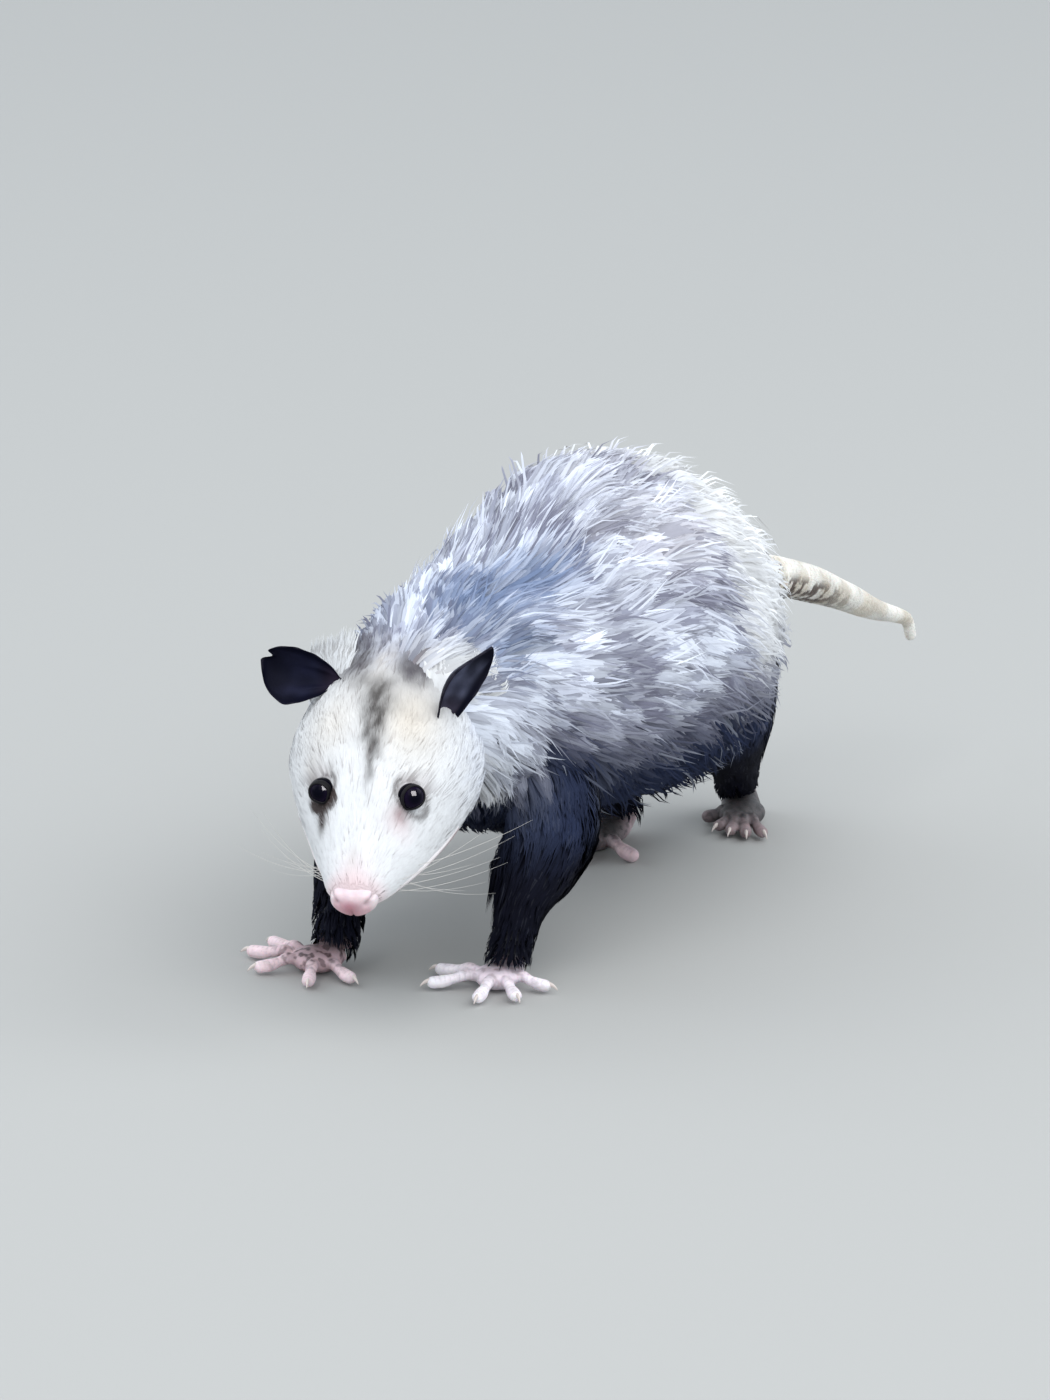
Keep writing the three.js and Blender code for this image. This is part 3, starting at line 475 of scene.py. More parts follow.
@dataclass(frozen=True)
class Markings:
    """The colours of hair tips and of the wool and skin under them, by place on the body."""

    white: Colour = (0.73, 0.74, 0.755)
    cream: Colour = (0.66, 0.60, 0.52)
    taupe: Colour = (0.55, 0.52, 0.495)
    frost: Colour = (0.76, 0.80, 0.90)
    lavender: Colour = (0.395, 0.42, 0.52)
    mottle: Colour = (0.185, 0.185, 0.245)
    steel: Colour = (0.145, 0.195, 0.32)
    warm: Colour = (0.60, 0.58, 0.625)
    navy: Colour = (0.021, 0.029, 0.064)
    black: Colour = (0.005, 0.0055, 0.012)
    sooty: Colour = (0.038, 0.032, 0.030)
    dusk: Colour = (0.10, 0.092, 0.105)
    umber: Colour = (0.035, 0.022, 0.020)
    pink: Colour = (0.74, 0.55, 0.57)
    flush: Colour = (0.26, 0.17, 0.18)
    dabs: tuple[Dab, ...] = dabs_of(
        (66, 66, 143, 15, 15, 22, "mottle", 1.0), (58, 100, 163, 16, 10, 10, "mottle", 0.5),
        (66, 150, 152, 20, 10, 12, "mottle", 0.45), (54, 70, 172, 16, 9, 11, "mottle", 0.4),
        (50, 46, 168, 20, 15, 20, "frost", 0.9), (60, 24, 138, 20, 10, 18, "frost", 0.55),
        (66, 104, 138, 18, 13, 15, "frost", 0.75), (64, 172, 146, 20, 14, 22, "frost", 0.8),
        (50, -34, 124, 18, 22, 28, "frost", 0.95), (33, -8, 163, 24, 20, 15, "steel", 0.9),
        (12, 4, 182, 26, 22, 15, "steel", 0.85), (20, 36, 192, 24, 26, 14, "steel", 0.75),
        (38, 18, 176, 14, 10, 8, "frost", 0.5), (8, 84, 212, 26, 26, 12, "mottle", 0.4),
        (46, 124, 198, 24, 24, 16, "warm", 0.9), (44, 118, 200, 14, 16, 12, "frost", 0.5),
        (34, 160, 206, 22, 20, 10, "frost", 0.6), (40, 178, 192, 22, 24, 10, "taupe", 0.35),
        (-50, 60, 160, 24, 18, 20, "mottle", 0.6), (-57, 124, 150, 24, 16, 20, "mottle", 0.5),
        (-52, 92, 170, 22, 18, 18, "frost", 0.8), (-44, -16, 150, 24, 22, 22, "steel", 0.6),
        (-60, 20, 130, 22, 18, 22, "frost", 0.7),
    )
    late: tuple[Dab, ...] = dabs_of(
        (-42, -12, 152, 13, 16, 12, "dusk", 1.0), (-24, -36, 160, 14, 18, 11, "dusk", 1.0),
        (-60, -32, 136, 10, 16, 16, "white", 1.0), (31, -38, 165, 8, 13, 12, "white", 1.0),
        (54, -40, 120, 20, 26, 28, "frost", 1.0), (64, 46, 76, 8, 9, 22, "lavender", 0.6),
        (66, 66, 143, 13, 14, 20, "mottle", 0.7), (70, 38, 122, 12, 14, 12, "mottle", 0.6),
        (12, 6, 184, 24, 28, 16, "steel", 1.0), (24, 44, 190, 15, 24, 15, "steel", 1.0),
        (0, 96, 222, 26, 30, 12, "lavender", 0.5), (56, 150, 112, 30, 30, 12, "mottle", 0.35),
        (38, 8, 168, 12, 22, 10, "steel", 0.6), (50, 74, 176, 14, 12, 12, "mottle", 0.4),
        (62, 112, 160, 12, 12, 12, "mottle", 0.45), (66, 30, 142, 10, 14, 10, "mottle", 0.4),
        (70, 84, 126, 10, 20, 10, "mottle", 0.4), (46, 176, 168, 16, 12, 26, "white", 0.5),
    )
    # The crown's dabs lie in the head's own lengths: back, aside and up.
    crown: tuple[Dab, ...] = dabs_of(
        (132, -19, 10, 15, 10, 15, "dusk", 1.0), (114, -15, 28, 9, 8, 12, "dusk", 1.0),
        (112, 14, 31, 9, 8, 12, "dusk", 0.9), (124, 14, 26, 15, 9, 16, "dusk", 1.0),
        (118, -2, 30, 14, 6, 12, "taupe", 0.7),
    )

    def dark_height(self, y: Array) -> Array:
        """The height below which the flank turns dark, along the body."""
        places = [-80, -40, -16, -8, -2, 7, 18, 71, 88, 128, 142, 172, 215, 240, 270, 310]
        heights = [84, 86, 90, 96, 105, 114, 117, 113, 115, 119, 120, 110, 103, 98, 84, 62]
        return np.interp(y, places, heights)

    def head_share(self, p: Array) -> Array:
        """1 on the head's own fur, 0 on the neck behind it and on the legs below."""
        t, side, up = SKULL.locate(p)
        back = 98 + 34 * smooth(up, 4, 20)
        ragged = 7 * ripple(p, 14, 3) + 3 * ripple(p, 5, 4)
        rise = up - HEAD.at("wide", t)
        reach = np.where(rise > 0, HEAD.at("top", t), -HEAD.at("bottom", t)) + HEAD.at("fur", t)
        near = np.hypot(side / (HEAD.at("w", t) + HEAD.at("fur", t)), rise / reach)
        outside = smooth(near, 1.2, 1.45) * smooth(t, 52, 66)
        return smooth(back - t + ragged, -7, 7) * (1 - outside) * smooth(up, -64, -50)

    def stripe(self, p: Array) -> Array:
        """The dusky stripe from between the eyes to the crown, and the two patches it ends in."""
        t, side, up = SKULL.locate(p)
        ragged = 1.4 * ripple(p, 9, 5)
        streaks = 0.95 + 0.2 * ripple(p * np.array([1.0, 0.35, 0.6]), 4.5, 6)
        width = 2.6 + 2.8 * smooth(t, 50, 72) + 3.2 * smooth(t, 74, 92)
        middle = 2.0 - 1.2 * smooth(t, 60, 76) - 2.6 * smooth(t, 90, 108)
        line = bell(side + ragged, middle, width) * smooth(t, 40, 64) * smooth(-t, -116, -98)
        far = bell(side + ragged, -14.5, 6.0) * bell(t, 122, 13)
        link = 0.7 * bell(side + ragged, -9.5, 7.0) * bell(t, 104, 8)
        near = bell(side + ragged, 12.5, 7.5) * bell(t, 119, 12)
        spread = np.maximum.reduce([0.95 * line, 0.9 * far, link, 0.9 * near])
        return np.clip(spread * streaks * smooth(up, -2, 6), 0, 1)

    def eye_marks(self, p: Array, tips: Array) -> Array:
        """Dark corners and tear lines by the eyes, not alike on the two sides."""
        t, side, up = SKULL.locate(p)
        eye_t, eye_side, _ = EYE_AT
        across = np.abs(side) - eye_side
        right, left = (side < 0) * (up > 0), (side > 0) * (up > 0)
        rim = bell(np.hypot(t - eye_t, across), 6.8, 1.1) * (up > 4)
        along, athwart = (t - eye_t + across + 3.2) / 1.41, (t - eye_t - across + 0.6) / 1.41
        almond = np.hypot(along / 8.6, athwart / 6.6) + 0.5 * smooth(athwart, 2.5, 5.0)
        tips = mixed(tips, self.umber, 0.7 * rim)
        tips = mixed(tips, self.umber, 0.97 * smooth(-almond, -1.12, -0.98) * right)
        slant = -1.0 - 0.1 * (eye_t - 12 - t)
        marks = (  # colour, strength, side, and middle and width back from the eye and outwards
            (self.umber, 1.2, right, -11.5, 5.0, slant, 2.2),
            (self.umber, 0.8, right, -7.0, 3.0, -4.5, 3.2),
            (self.umber, 0.9, right, 6.0, 3.2, 5.6, 2.6),
            (self.taupe, 0.6, right, 13, 5.0, 8.0, 4.5),
            (self.flush, 0.85, left, -9.5, 3.4, -3.6, 3.0),
            (self.pink, 0.35, left, -13, 6.0, -5.0, 6.0),
        )
        for colour, strength, where, back, long, out, wide in marks:
            spot = strength * bell(t, eye_t + back, long) * bell(across, out, wide)
            tips = mixed(tips, colour, np.clip(spot, 0, 1) * where)
        return tips

    def face(self, p: Array) -> Array:
        """White, cream over the brows, pink towards the nose and dusky along the stripe, with painted shade
        in the muzzle's groove.
        """
        t, side, up = SKULL.locate(p)
        brow = bell(side, 17, 14) * bell(t, 84, 20) * smooth(up, 0, 20)
        # Painted shade: a taupe line along the groove on top of the muzzle.
        groove_shade = bell(side, -1, 2.6) * bell(t, 17, 7) * (up > 0)
        tips = layered(
            self.white,
            (self.cream, np.clip(0.85 * brow, 0, 1)),
            (self.cream, 0.5 * bell(side, -20, 13) * bell(t, 80, 16) * smooth(up, 0, 16)),
            (self.taupe, 0.45 * bell(side, -3, 18) * bell(t, 102, 14) * smooth(up, 0, 16)),
            (self.lavender, 0.75 * smooth(t, 106, 122) * bell(side, -1, 20)),
            (self.pink, 0.6 * smooth(-t, -13, -4)),
            (self.pink, 0.5 * bell(side, 0, 8) * smooth(-t, -24, -8) * (up > 0)),
            (self.taupe, 0.45 * groove_shade),
        )
        return mixed(self.eye_marks(p, tips), self.sooty, 0.92 * self.stripe(p))

    def body(self, p: Array) -> Array:
        """Frosted lavender grey, mottled on the flank, steel on the shoulder, near black below."""
        y, z = p[..., 1], p[..., 2]
        blotch = ripple(p, 34, 7) + 0.75 * ripple(p, 14, 8)
        flecks = ripple(p * np.array([1.0, 0.75, 1.25]), 8, 14)
        tips = layered(
            self.lavender,
            (self.frost, smooth(blotch, -0.4, 0.6)),
            (self.warm, 0.45 * smooth(y, 60, 150) * smooth(z, 140, 190)),
            (self.mottle, 0.85 * smooth(-blotch, 0.25, 0.9)),
        )
        tips = self.dabbed(tips, self.dabs, p)
        edge = self.dark_height(y) + 7 * ripple(p, 26, 9) + 4 * ripple(p, 11, 10)
        belly = smooth(y, 30, 60)
        return layered(
            tips,
            (self.frost, 0.55 * smooth(flecks, 0.1, 0.7)),
            (self.mottle, 0.6 * smooth(-flecks, 0.15, 0.7) * (1 - 0.5 * smooth(z, 190, 215))),
            (self.white, 0.92 * smooth(y + 4 * flecks, 144, 172) * smooth(z, 96, 126)),
            (self.mottle, 0.8 * smooth(edge + 8 - z, -10, 12)),
            (self.navy, smooth(edge - z, -10 + 4 * belly, 10 + 20 * belly)),
            (self.black, smooth(-z, -80, -50)),
        )

    def dabbed(
        self, tips: Array, dabs: Sequence[Dab], p: Array, streaks: Array | float = 1.0, most: float = 1.0
    ) -> Array:
        """Colours with soft spots laid on in turn, broken by streaks and never stronger than most."""
        spots = ((getattr(self, dab.colour), np.clip(dab.share(p) * streaks, 0, most)) for dab in dabs)
        return layered(tips, *spots)

    def tips(self, p: Array) -> Array:
        """The colour of hair tips at points in the body's frame."""
        on_head = self.head_share(p)
        body = mixed(self.body(p), self.sooty, 0.8 * np.clip(self.stripe(p) * (1 - on_head), 0, 1))
        tips = mixed(body, self.face(p), on_head)
        streaks = 0.85 + 0.3 * ripple(p * np.array([1.0, 0.5, 0.8]), 5, 6)
        tips = self.dabbed(tips, self.late, p, streaks, 0.95)
        return self.dabbed(tips, self.crown, np.stack(SKULL.locate(p), axis=-1), streaks, 0.95)

    def under(self, p: Array) -> Array:
        """The colour of the wool and skin below the tips: dark on the body, pale on the face."""
        tips = self.tips(p)
        pale = mixed(tips, self.pink, np.full(len(p), 0.1)) * 0.95
        return mixed(tips * 0.88, pale, self.head_share(p))


MARKINGS = Markings()


# Meshes


@dataclass
class Shape:
    """Points in mm of the body's frame and faces of four or three corners."""

    points: Array
    quads: Array = field(default_factory=lambda: np.zeros((0, 4), int))
    tris: Array = field(default_factory=lambda: np.zeros((0, 3), int))
    normals: Array | None = None

    @staticmethod
    def joined(shapes: Sequence["Shape"]) -> "Shape":
        """Several shapes as one, their points numbered on."""
        first = np.cumsum([0] + [len(s.points) for s in shapes])
        return Shape(
            np.concatenate([s.points for s in shapes]),
            np.concatenate([s.quads + n for s, n in zip(shapes, first)]),
            np.concatenate([s.tris + n for s, n in zip(shapes, first)]),
        )

    def volume(self) -> float:
        """The volume inside, negative when the faces point inwards: a sum over pyramids."""
        faces = np.concatenate([self.quads[:, :3], self.quads[:, [0, 2, 3]], self.tris])
        a, b, c = self.points[faces].transpose(1, 0, 2)
        return float((a * np.cross(b, c)).sum() / 6)


def lofted(grid: Array, start: Array | None = None, end: Array | None = None) -> Shape:
    """A closed skin over rings of points.

    Faces join each ring to the next, and a fan closes each end.

    Args:
        grid: rings by sides by 3 points.
        start: pole of the first ring, or none for its middle.
        end: pole of the last ring, or none for its middle.
    """
    rings, sides, _ = grid.shape
    index = np.arange(rings * sides).reshape(rings, sides)
    after = np.roll(index, -1, axis=1)
    quads = np.stack([index[:-1], after[:-1], after[1:], index[1:]], axis=-1).reshape(-1, 4)
    start = grid[0].mean(axis=0) if start is None else start
    end = grid[-1].mean(axis=0) if end is None else end
    low, high = rings * sides, rings * sides + 1
    first = np.stack([np.full(sides, low), after[0], index[0]], axis=-1)
    last = np.stack([np.full(sides, high), index[-1], after[-1]], axis=-1)
    points = np.concatenate([grid.reshape(-1, 3), np.stack([start, end])])
    return Shape(points, quads, np.concatenate([first, last]))


def rings_round(spine: Array, up: Array, sides: int, narrow: float = 1.0) -> Array:
    """Rings of radius 1 across a middle line, sideways by the cosine and upwards by the sine."""
    way = unit(np.gradient(spine, axis=-2))
    side = unit(np.cross(way, up))
    high = np.cross(side, way)
    angle = angles(sides)[:, None]
    return side[..., None, :] * np.cos(angle) * narrow + high[..., None, :] * np.sin(angle)


def on_ball(latitude: Array, longitude: Array) -> Array:
    """Points of a ball of radius 1 by the angle from its pole and the angle round it."""
    flat = np.sin(latitude)
    high = np.cos(latitude) + 0 * longitude
    return np.stack([flat * np.cos(longitude), flat * np.sin(longitude), high], axis=-1)


def ball(centre: Array, sizes: Array, axes: Array, rings: int = 24, sides: int = 36) -> Shape:
    """A ball stretched along three axes: sines and cosines of its latitude and longitude."""
    latitude = np.linspace(0, math.pi, rings + 2)[1:-1, None]
    grid = centre + (on_ball(latitude, angles(sides)) * sizes) @ axes
    return lofted(grid, centre + axes[2] * sizes[2], centre - axes[2] * sizes[2])


def placed(name: str, data: bpy.types.ID) -> Piece:
    """A new object in the scene that holds the data."""
    made = bpy.data.objects.new(name, data)
    bpy.context.scene.collection.objects.link(made)
    return made


class Workshop:
    """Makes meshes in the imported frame, fixes each piece to the body and keeps count."""

    def __init__(self, shift: Array) -> None:
        """Keeps the step from the body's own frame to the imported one, in mm."""
        self.shift = shift
        self.total = 0

    def mesh(self, name: str, shape: Shape) -> Piece:
        """An object at the origin that holds the shape, in metres, smooth and facing out."""
        data = bpy.data.meshes.new(name)
        data.vertices.add(len(shape.points))
        data.vertices.foreach_set("co", ((shape.points + self.shift) * MM).astype(np.float32).ravel())
        corners = np.concatenate([shape.quads.ravel(), shape.tris.ravel()]).astype(np.int32)
        sizes = np.concatenate([np.full(len(shape.quads), 4), np.full(len(shape.tris), 3)])
        data.loops.add(len(corners))
        data.loops.foreach_set("vertex_index", corners)
        data.polygons.add(len(sizes))
        starts = np.concatenate([[0], np.cumsum(sizes)[:-1]]).astype(np.int32)
        data.polygons.foreach_set("loop_start", starts)
        data.update(calc_edges=True)
        data.shade_smooth()
        if shape.volume() < 0:
            data.flip_normals()
        if shape.normals is not None:
            data.normals_split_custom_set_from_vertices(shape.normals.astype(np.float32))
        return placed(name, data)

    def points(self, piece: Piece) -> Array:
        """The vertices of a piece, in mm of the body's own frame."""
        flat = np.empty(len(piece.data.vertices) * 3, np.float32)
        piece.data.vertices.foreach_get("co", flat)
        return flat.reshape(-1, 3).astype(float) / MM - self.shift

    def fused(self, name: str, shapes: Sequence[Shape], voxel: float, rounds: int) -> Piece:
        """Several closed shapes melted into one even skin.

        Args:
            name: the piece's name.
            shapes: closed shapes that overlap.
            voxel: the side of the new faces, in mm.
            rounds: how often the result is smoothed.

        Returns:
            The piece, with its modifiers applied.
        """
        piece = self.mesh(name, Shape.joined(shapes))
        melt = piece.modifiers.new("melt", "REMESH")
        melt.mode = "VOXEL"
        melt.voxel_size = voxel * MM
        melt.use_smooth_shade = True
        soften = piece.modifiers.new("soften", "SMOOTH")
        soften.iterations = rounds
        return self.applied(piece)

    @staticmethod
    def applied(piece: Piece) -> Piece:
        """The piece with its modifiers worked into its mesh."""
        graph = bpy.context.evaluated_depsgraph_get()
        data = bpy.data.meshes.new_from_object(piece.evaluated_get(graph))
        rough = piece.data
        piece.modifiers.clear()
        piece.data = data
        bpy.data.meshes.remove(rough)
        data.name = piece.name
        return piece

    @staticmethod
    def paint(piece: Piece, colours: Array | Colour) -> None:
        """Stores the marking: one linear colour for each vertex, or the same for all."""
        count = len(piece.data.vertices)
        layer = piece.data.color_attributes.new(COLOUR, "FLOAT_COLOR", "POINT")
        opaque = np.hstack([np.clip(np.broadcast_to(colours, (count, 3)), 0, 1), np.ones((count, 1))])
        layer.data.foreach_set("color", opaque.astype(np.float32).ravel())

    def present(self, piece: Piece, look: "Look", slot: str, replaces: Sequence[str] = ()) -> Piece:
        """Dresses a finished piece, fixes it to the body and reports it.

        Args:
            piece: the piece.
            look: what it is covered with.
            slot: the record's material slot that the look belongs to; not used.
            replaces: the solids that it stands for.

        Returns:
            The same piece.
        """
        piece.data.materials.clear()
        piece.data.materials.append(look.value.material())
        piece.visible_shadow = look.value.casts
        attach(piece, "root")
        if replaces:
            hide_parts(*replaces)
        triangles = len(piece.data.loops) - 2 * len(piece.data.polygons)
        self.total += triangles
        log.info("%s: %d triangles", piece.name, triangles)
        return piece

    def make(
        self, name: str, shape: Shape, colours: Array | Colour, look: "Look", slot: str,
        replaces: Sequence[str] = (),
    ) -> Piece:
        """A shape made a piece, painted and presented in one go."""
        piece = self.mesh(name, shape)
        self.paint(piece, colours)
        return self.present(piece, look, slot, replaces)


# Finishes


class Board:
    """A material or group node tree with short ways to add and join nodes."""

    def __init__(self, tree: bpy.types.NodeTree) -> None:
        """Keeps the tree."""
        self.tree = tree

    def add(
        self, kind: str, inputs: dict[str | int, object] | None = None, **settings: object
    ) -> bpy.types.Node:
        """A node with its settings made and its inputs set, or joined where one is a socket."""
        node = self.tree.nodes.new(kind)
        for key, value in settings.items():
            setattr(node, key, value)
        for key, value in (inputs or {}).items():
            if isinstance(value, Socket):
                self.tree.links.new(value, node.inputs[key])
            else:
                node.inputs[key].default_value = value
        return node

    def ramp(
        self, value: Socket, low: float, high: float, to_low: float = 0.0, to_high: float = 1.0
    ) -> Socket:
        """A value taken from one range to another, held at its ends."""
        node = self.add(
            "ShaderNodeMapRange",
            {"Value": value, "From Min": low, "From Max": high, "To Min": to_low, "To Max": to_high},
            clamp=True,
        )
        return node.outputs["Result"]

    def sum_of(self, kind: str, a: object, b: object) -> Socket:
        """Two values put through one of the Math node's operations, ADD or MULTIPLY."""
        return self.add("ShaderNodeMath", {0: a, 1: b}, operation=kind).outputs[0]


def grain_group() -> bpy.types.NodeTree:
    """Fine relief and colour drift that hair, skin and horn share, built once.

    Colour is the colour in, lightened and darkened by a cloud of noise. Height is finer noise
    stretched along Z of the vector that comes in.
    """
    name = "fine grain"
    if name in bpy.data.node_groups:
        return bpy.data.node_groups[name]
    tree = bpy.data.node_groups.new(name, "ShaderNodeTree")
    sockets = (
        ("INPUT", "Colour", "Color"), ("INPUT", "Vector", "Vector"), ("INPUT", "Cloud Scale", "Float"),
        ("INPUT", "Grain Scale", "Float"), ("INPUT", "Drift", "Float"),
        ("OUTPUT", "Colour", "Color"), ("OUTPUT", "Height", "Float"),
    )
    for way, label, kind in sockets:
        tree.interface.new_socket(label, in_out=way, socket_type=f"NodeSocket{kind}")
    board = Board(tree)
    colour, vector, cloud_scale, grain_scale, drift, _ = board.add("NodeGroupInput").outputs
    cloud = board.add("ShaderNodeTexNoise", {"Vector": vector, "Scale": cloud_scale, "Detail": 3.0})
    swing = board.sum_of("MULTIPLY", board.ramp(cloud.outputs["Fac"], 0.3, 0.7, -1, 1), drift)
    bright = board.sum_of("ADD", swing, 1.0)
    scaled = board.add("ShaderNodeVectorMath", {0: colour, 3: bright}, operation="SCALE")
    grain = board.add("ShaderNodeTexNoise", {"Vector": vector, "Scale": grain_scale, "Detail": 4.0})
    board.add("NodeGroupOutput", {"Colour": scaled.outputs[0], "Height": grain.outputs["Fac"]})
    return tree


@dataclass(frozen=True)
class Finish:
    """What a surface is covered with: its marking colours, grained, over one shader."""

    name: str
    roughness: float = 0.6
    specular: float = 0.4
    sheen: float = 0.0
    coat: float = 0.0
    subsurface: float = 0.0
    casts: bool = True  # whether it throws shadows; pale thin hair lets nearly all light through
    cloud_scale: float = 60.0
    grain_scale: float = 900.0
    drift: float = 0.12
    relief: float = 0.25
    depth: float = 0.0004

    def material(self) -> bpy.types.Material:
        """The material, built once for each name."""
        if self.name in bpy.data.materials:
            return bpy.data.materials[self.name]
        made = bpy.data.materials.new(self.name)
        made.use_nodes = True
        made.node_tree.nodes.clear()
        board = Board(made.node_tree)
        grain = board.add(
            "ShaderNodeGroup",
            {
                "Colour": board.add("ShaderNodeAttribute", attribute_name=COLOUR).outputs["Color"],
                "Vector": board.add("ShaderNodeTexCoord").outputs["Object"],
                "Cloud Scale": self.cloud_scale,
                "Grain Scale": self.grain_scale,
                "Drift": self.drift,
            },
            node_tree=grain_group(),
        )
        height = self.height(board, grain.outputs["Height"])
        relief = {"Height": height, "Strength": self.relief, "Distance": self.depth}
        bump = board.add("ShaderNodeBump", relief)
        shader = board.add(
            "ShaderNodeBsdfPrincipled",
            {
                "Base Color": grain.outputs["Colour"],
                "Normal": bump.outputs[0],
                "Roughness": self.roughness,
                "Specular IOR Level": self.specular,
                "Sheen Weight": self.sheen,
                "Coat Weight": self.coat,
                "Subsurface Weight": self.subsurface,
                "Subsurface Scale": LINING,
            },
        )
        board.add("ShaderNodeOutputMaterial", {"Surface": shader.outputs[0]})
        return made

    def height(self, board: Board, grain: Socket) -> Socket:
        """The relief: the shared grain alone."""
        return grain


@dataclass(frozen=True)
class ScaledSkin(Finish):
    """Skin with a net of small scales between creases, as on a tail or the back of a toe."""

    cell_scale: float = 500.0
    cell_share: float = 0.7

    def height(self, board: Board, grain: Socket) -> Socket:
        """Cells that stand up from the creases between them, with the grain over them."""
        place = board.add("ShaderNodeTexCoord").outputs["Object"]
        cells = board.add(
            "ShaderNodeTexVoronoi", {"Vector": place, "Scale": self.cell_scale}, feature="DISTANCE_TO_EDGE"
        )
        raised = board.ramp(cells.outputs["Distance"], 0.0, 0.18)
        return board.sum_of("ADD", board.sum_of("MULTIPLY", raised, self.cell_share), grain)


class Look(Enum):
    """Every finish on the model."""

    GUARD = Finish("guard hair", roughness=0.85, specular=0.05, drift=0.08, relief=0.0, casts=False)
    DARK = Finish("dark hair", roughness=0.7, specular=0.05, drift=0.08, relief=0.1, grain_scale=1500)
    FACE_FUR = Finish(
        "face fur", roughness=0.75, specular=0.1, sheen=0.1, drift=0.03, relief=0.0, casts=False
    )
    HIDE = Finish("furred hide", roughness=0.85, specular=0.1, relief=0.6, grain_scale=1100, depth=0.0008)
    PINK = ScaledSkin(
        "pink toe skin", roughness=0.5, specular=0.45, subsurface=0.12, cell_scale=900, relief=0.45,
        drift=0.14, cloud_scale=160,
    )
    NOSE = ScaledSkin(
        "nose pad", roughness=0.33, specular=0.5, coat=0.25, subsurface=0.15, cell_scale=1500, relief=0.3,
        drift=0.1, cloud_scale=220,
    )
    EAR = Finish(
        "ear skin", roughness=0.55, specular=0.07, drift=0.25, relief=0.3, grain_scale=700, cloud_scale=90
    )
    LID = Finish("lid skin", roughness=0.5, specular=0.2, drift=0.1, relief=0.3, grain_scale=1400)
    TAIL = ScaledSkin(
        "tail skin", roughness=0.55, specular=0.4, subsurface=0.05, cell_scale=620, cell_share=1.0,
        relief=0.6, cloud_scale=80,
    )
    EYE = Finish("eyeball", roughness=0.08, specular=0.05, drift=0.0, relief=0.0)
    CLAW = Finish("claw horn", roughness=0.3, specular=0.5, coat=0.2, drift=0.08, relief=0.1)
    WHISKER = Finish("whisker hair", roughness=0.35, specular=0.5, drift=0.0, relief=0.0)


# Coat


@dataclass(frozen=True)
class Tuft:
    """The make of one kind of tuft, in mm and shares of the coat's depth."""

    count: int
    length: float
    width: float
    thick: float = 0.2  # thickness as a share of the width
    round: float = 0.08  # how far its shading rounds off towards its edges
    gloss: float = 0.08  # how far its shading leans from the coat's own way out to the blade's
    root: float = -0.04  # how far out in the coat its root lies
    tip: float = 0.9  # and its tip, before its lock's own lift
    highest: float = 1.5  # no tip stands further out than this
    curve: float = 0.8  # how soon it climbs: below 1 early, above 1 late
    rings: int = 3
    drop: float = 0.42  # radians that the flanks' hair turns down
    scatter: float = 0.1
    spread: float = 0.18  # how much lengths and widths vary
    lock: tuple[float, float] = (12.0, 6.0)  # a lock's size along and round
    pull: float = 0.7  # how far tips gather to their lock's tip
    ruffle: float = 0.06  # how much whole locks differ in lift
    flow: float = 0.2  # radians by which the lie wanders over the body
    bright: float = 0.05  # how much single hairs differ in shade
    lock_bright: float = 0.14  # how much whole locks differ
    shaded: float = 0.2  # share of locks that lie deeper, their colour darkened as painted shade
    pale: float = 0.0  # share of hairs with paler tips
    paler: float = 0.75  # how pale those are
    under: float = 0.0  # 1 takes the colours of the wool, 0 those of the tips
    printed: bool = False  # whether each point has its own place's marking, not the tip's
    tint: str = ""  # a colour of the markings for the whole tuft

    def stations(self) -> Array:
        """Where along a tuft its rings and its tip stand, from 0 to 1."""
        return np.append(np.linspace(0, LAST_RING, self.rings), 1.0)

    @staticmethod
    def corners(rings: Array, tip: Array) -> Array:
        """Rows of each tuft's points: three for every ring, then its tip."""
        return np.concatenate([rings.reshape(len(rings), -1, 3), tip], axis=1)


@dataclass(frozen=True)
class Roots:
    """Where tufts grow: along and round the hide, and as points of the bare skin."""

    along: Array
    turn: Array
    p: Array

    @property
    def rise(self) -> Array:
        """From -1 under the hide to 1 on top of it."""
        return np.sin(self.turn)


Field = Callable[[Roots], Array]


def everywhere(at: Roots) -> Array:
    """1 at every root."""
    return np.ones(len(at.p))


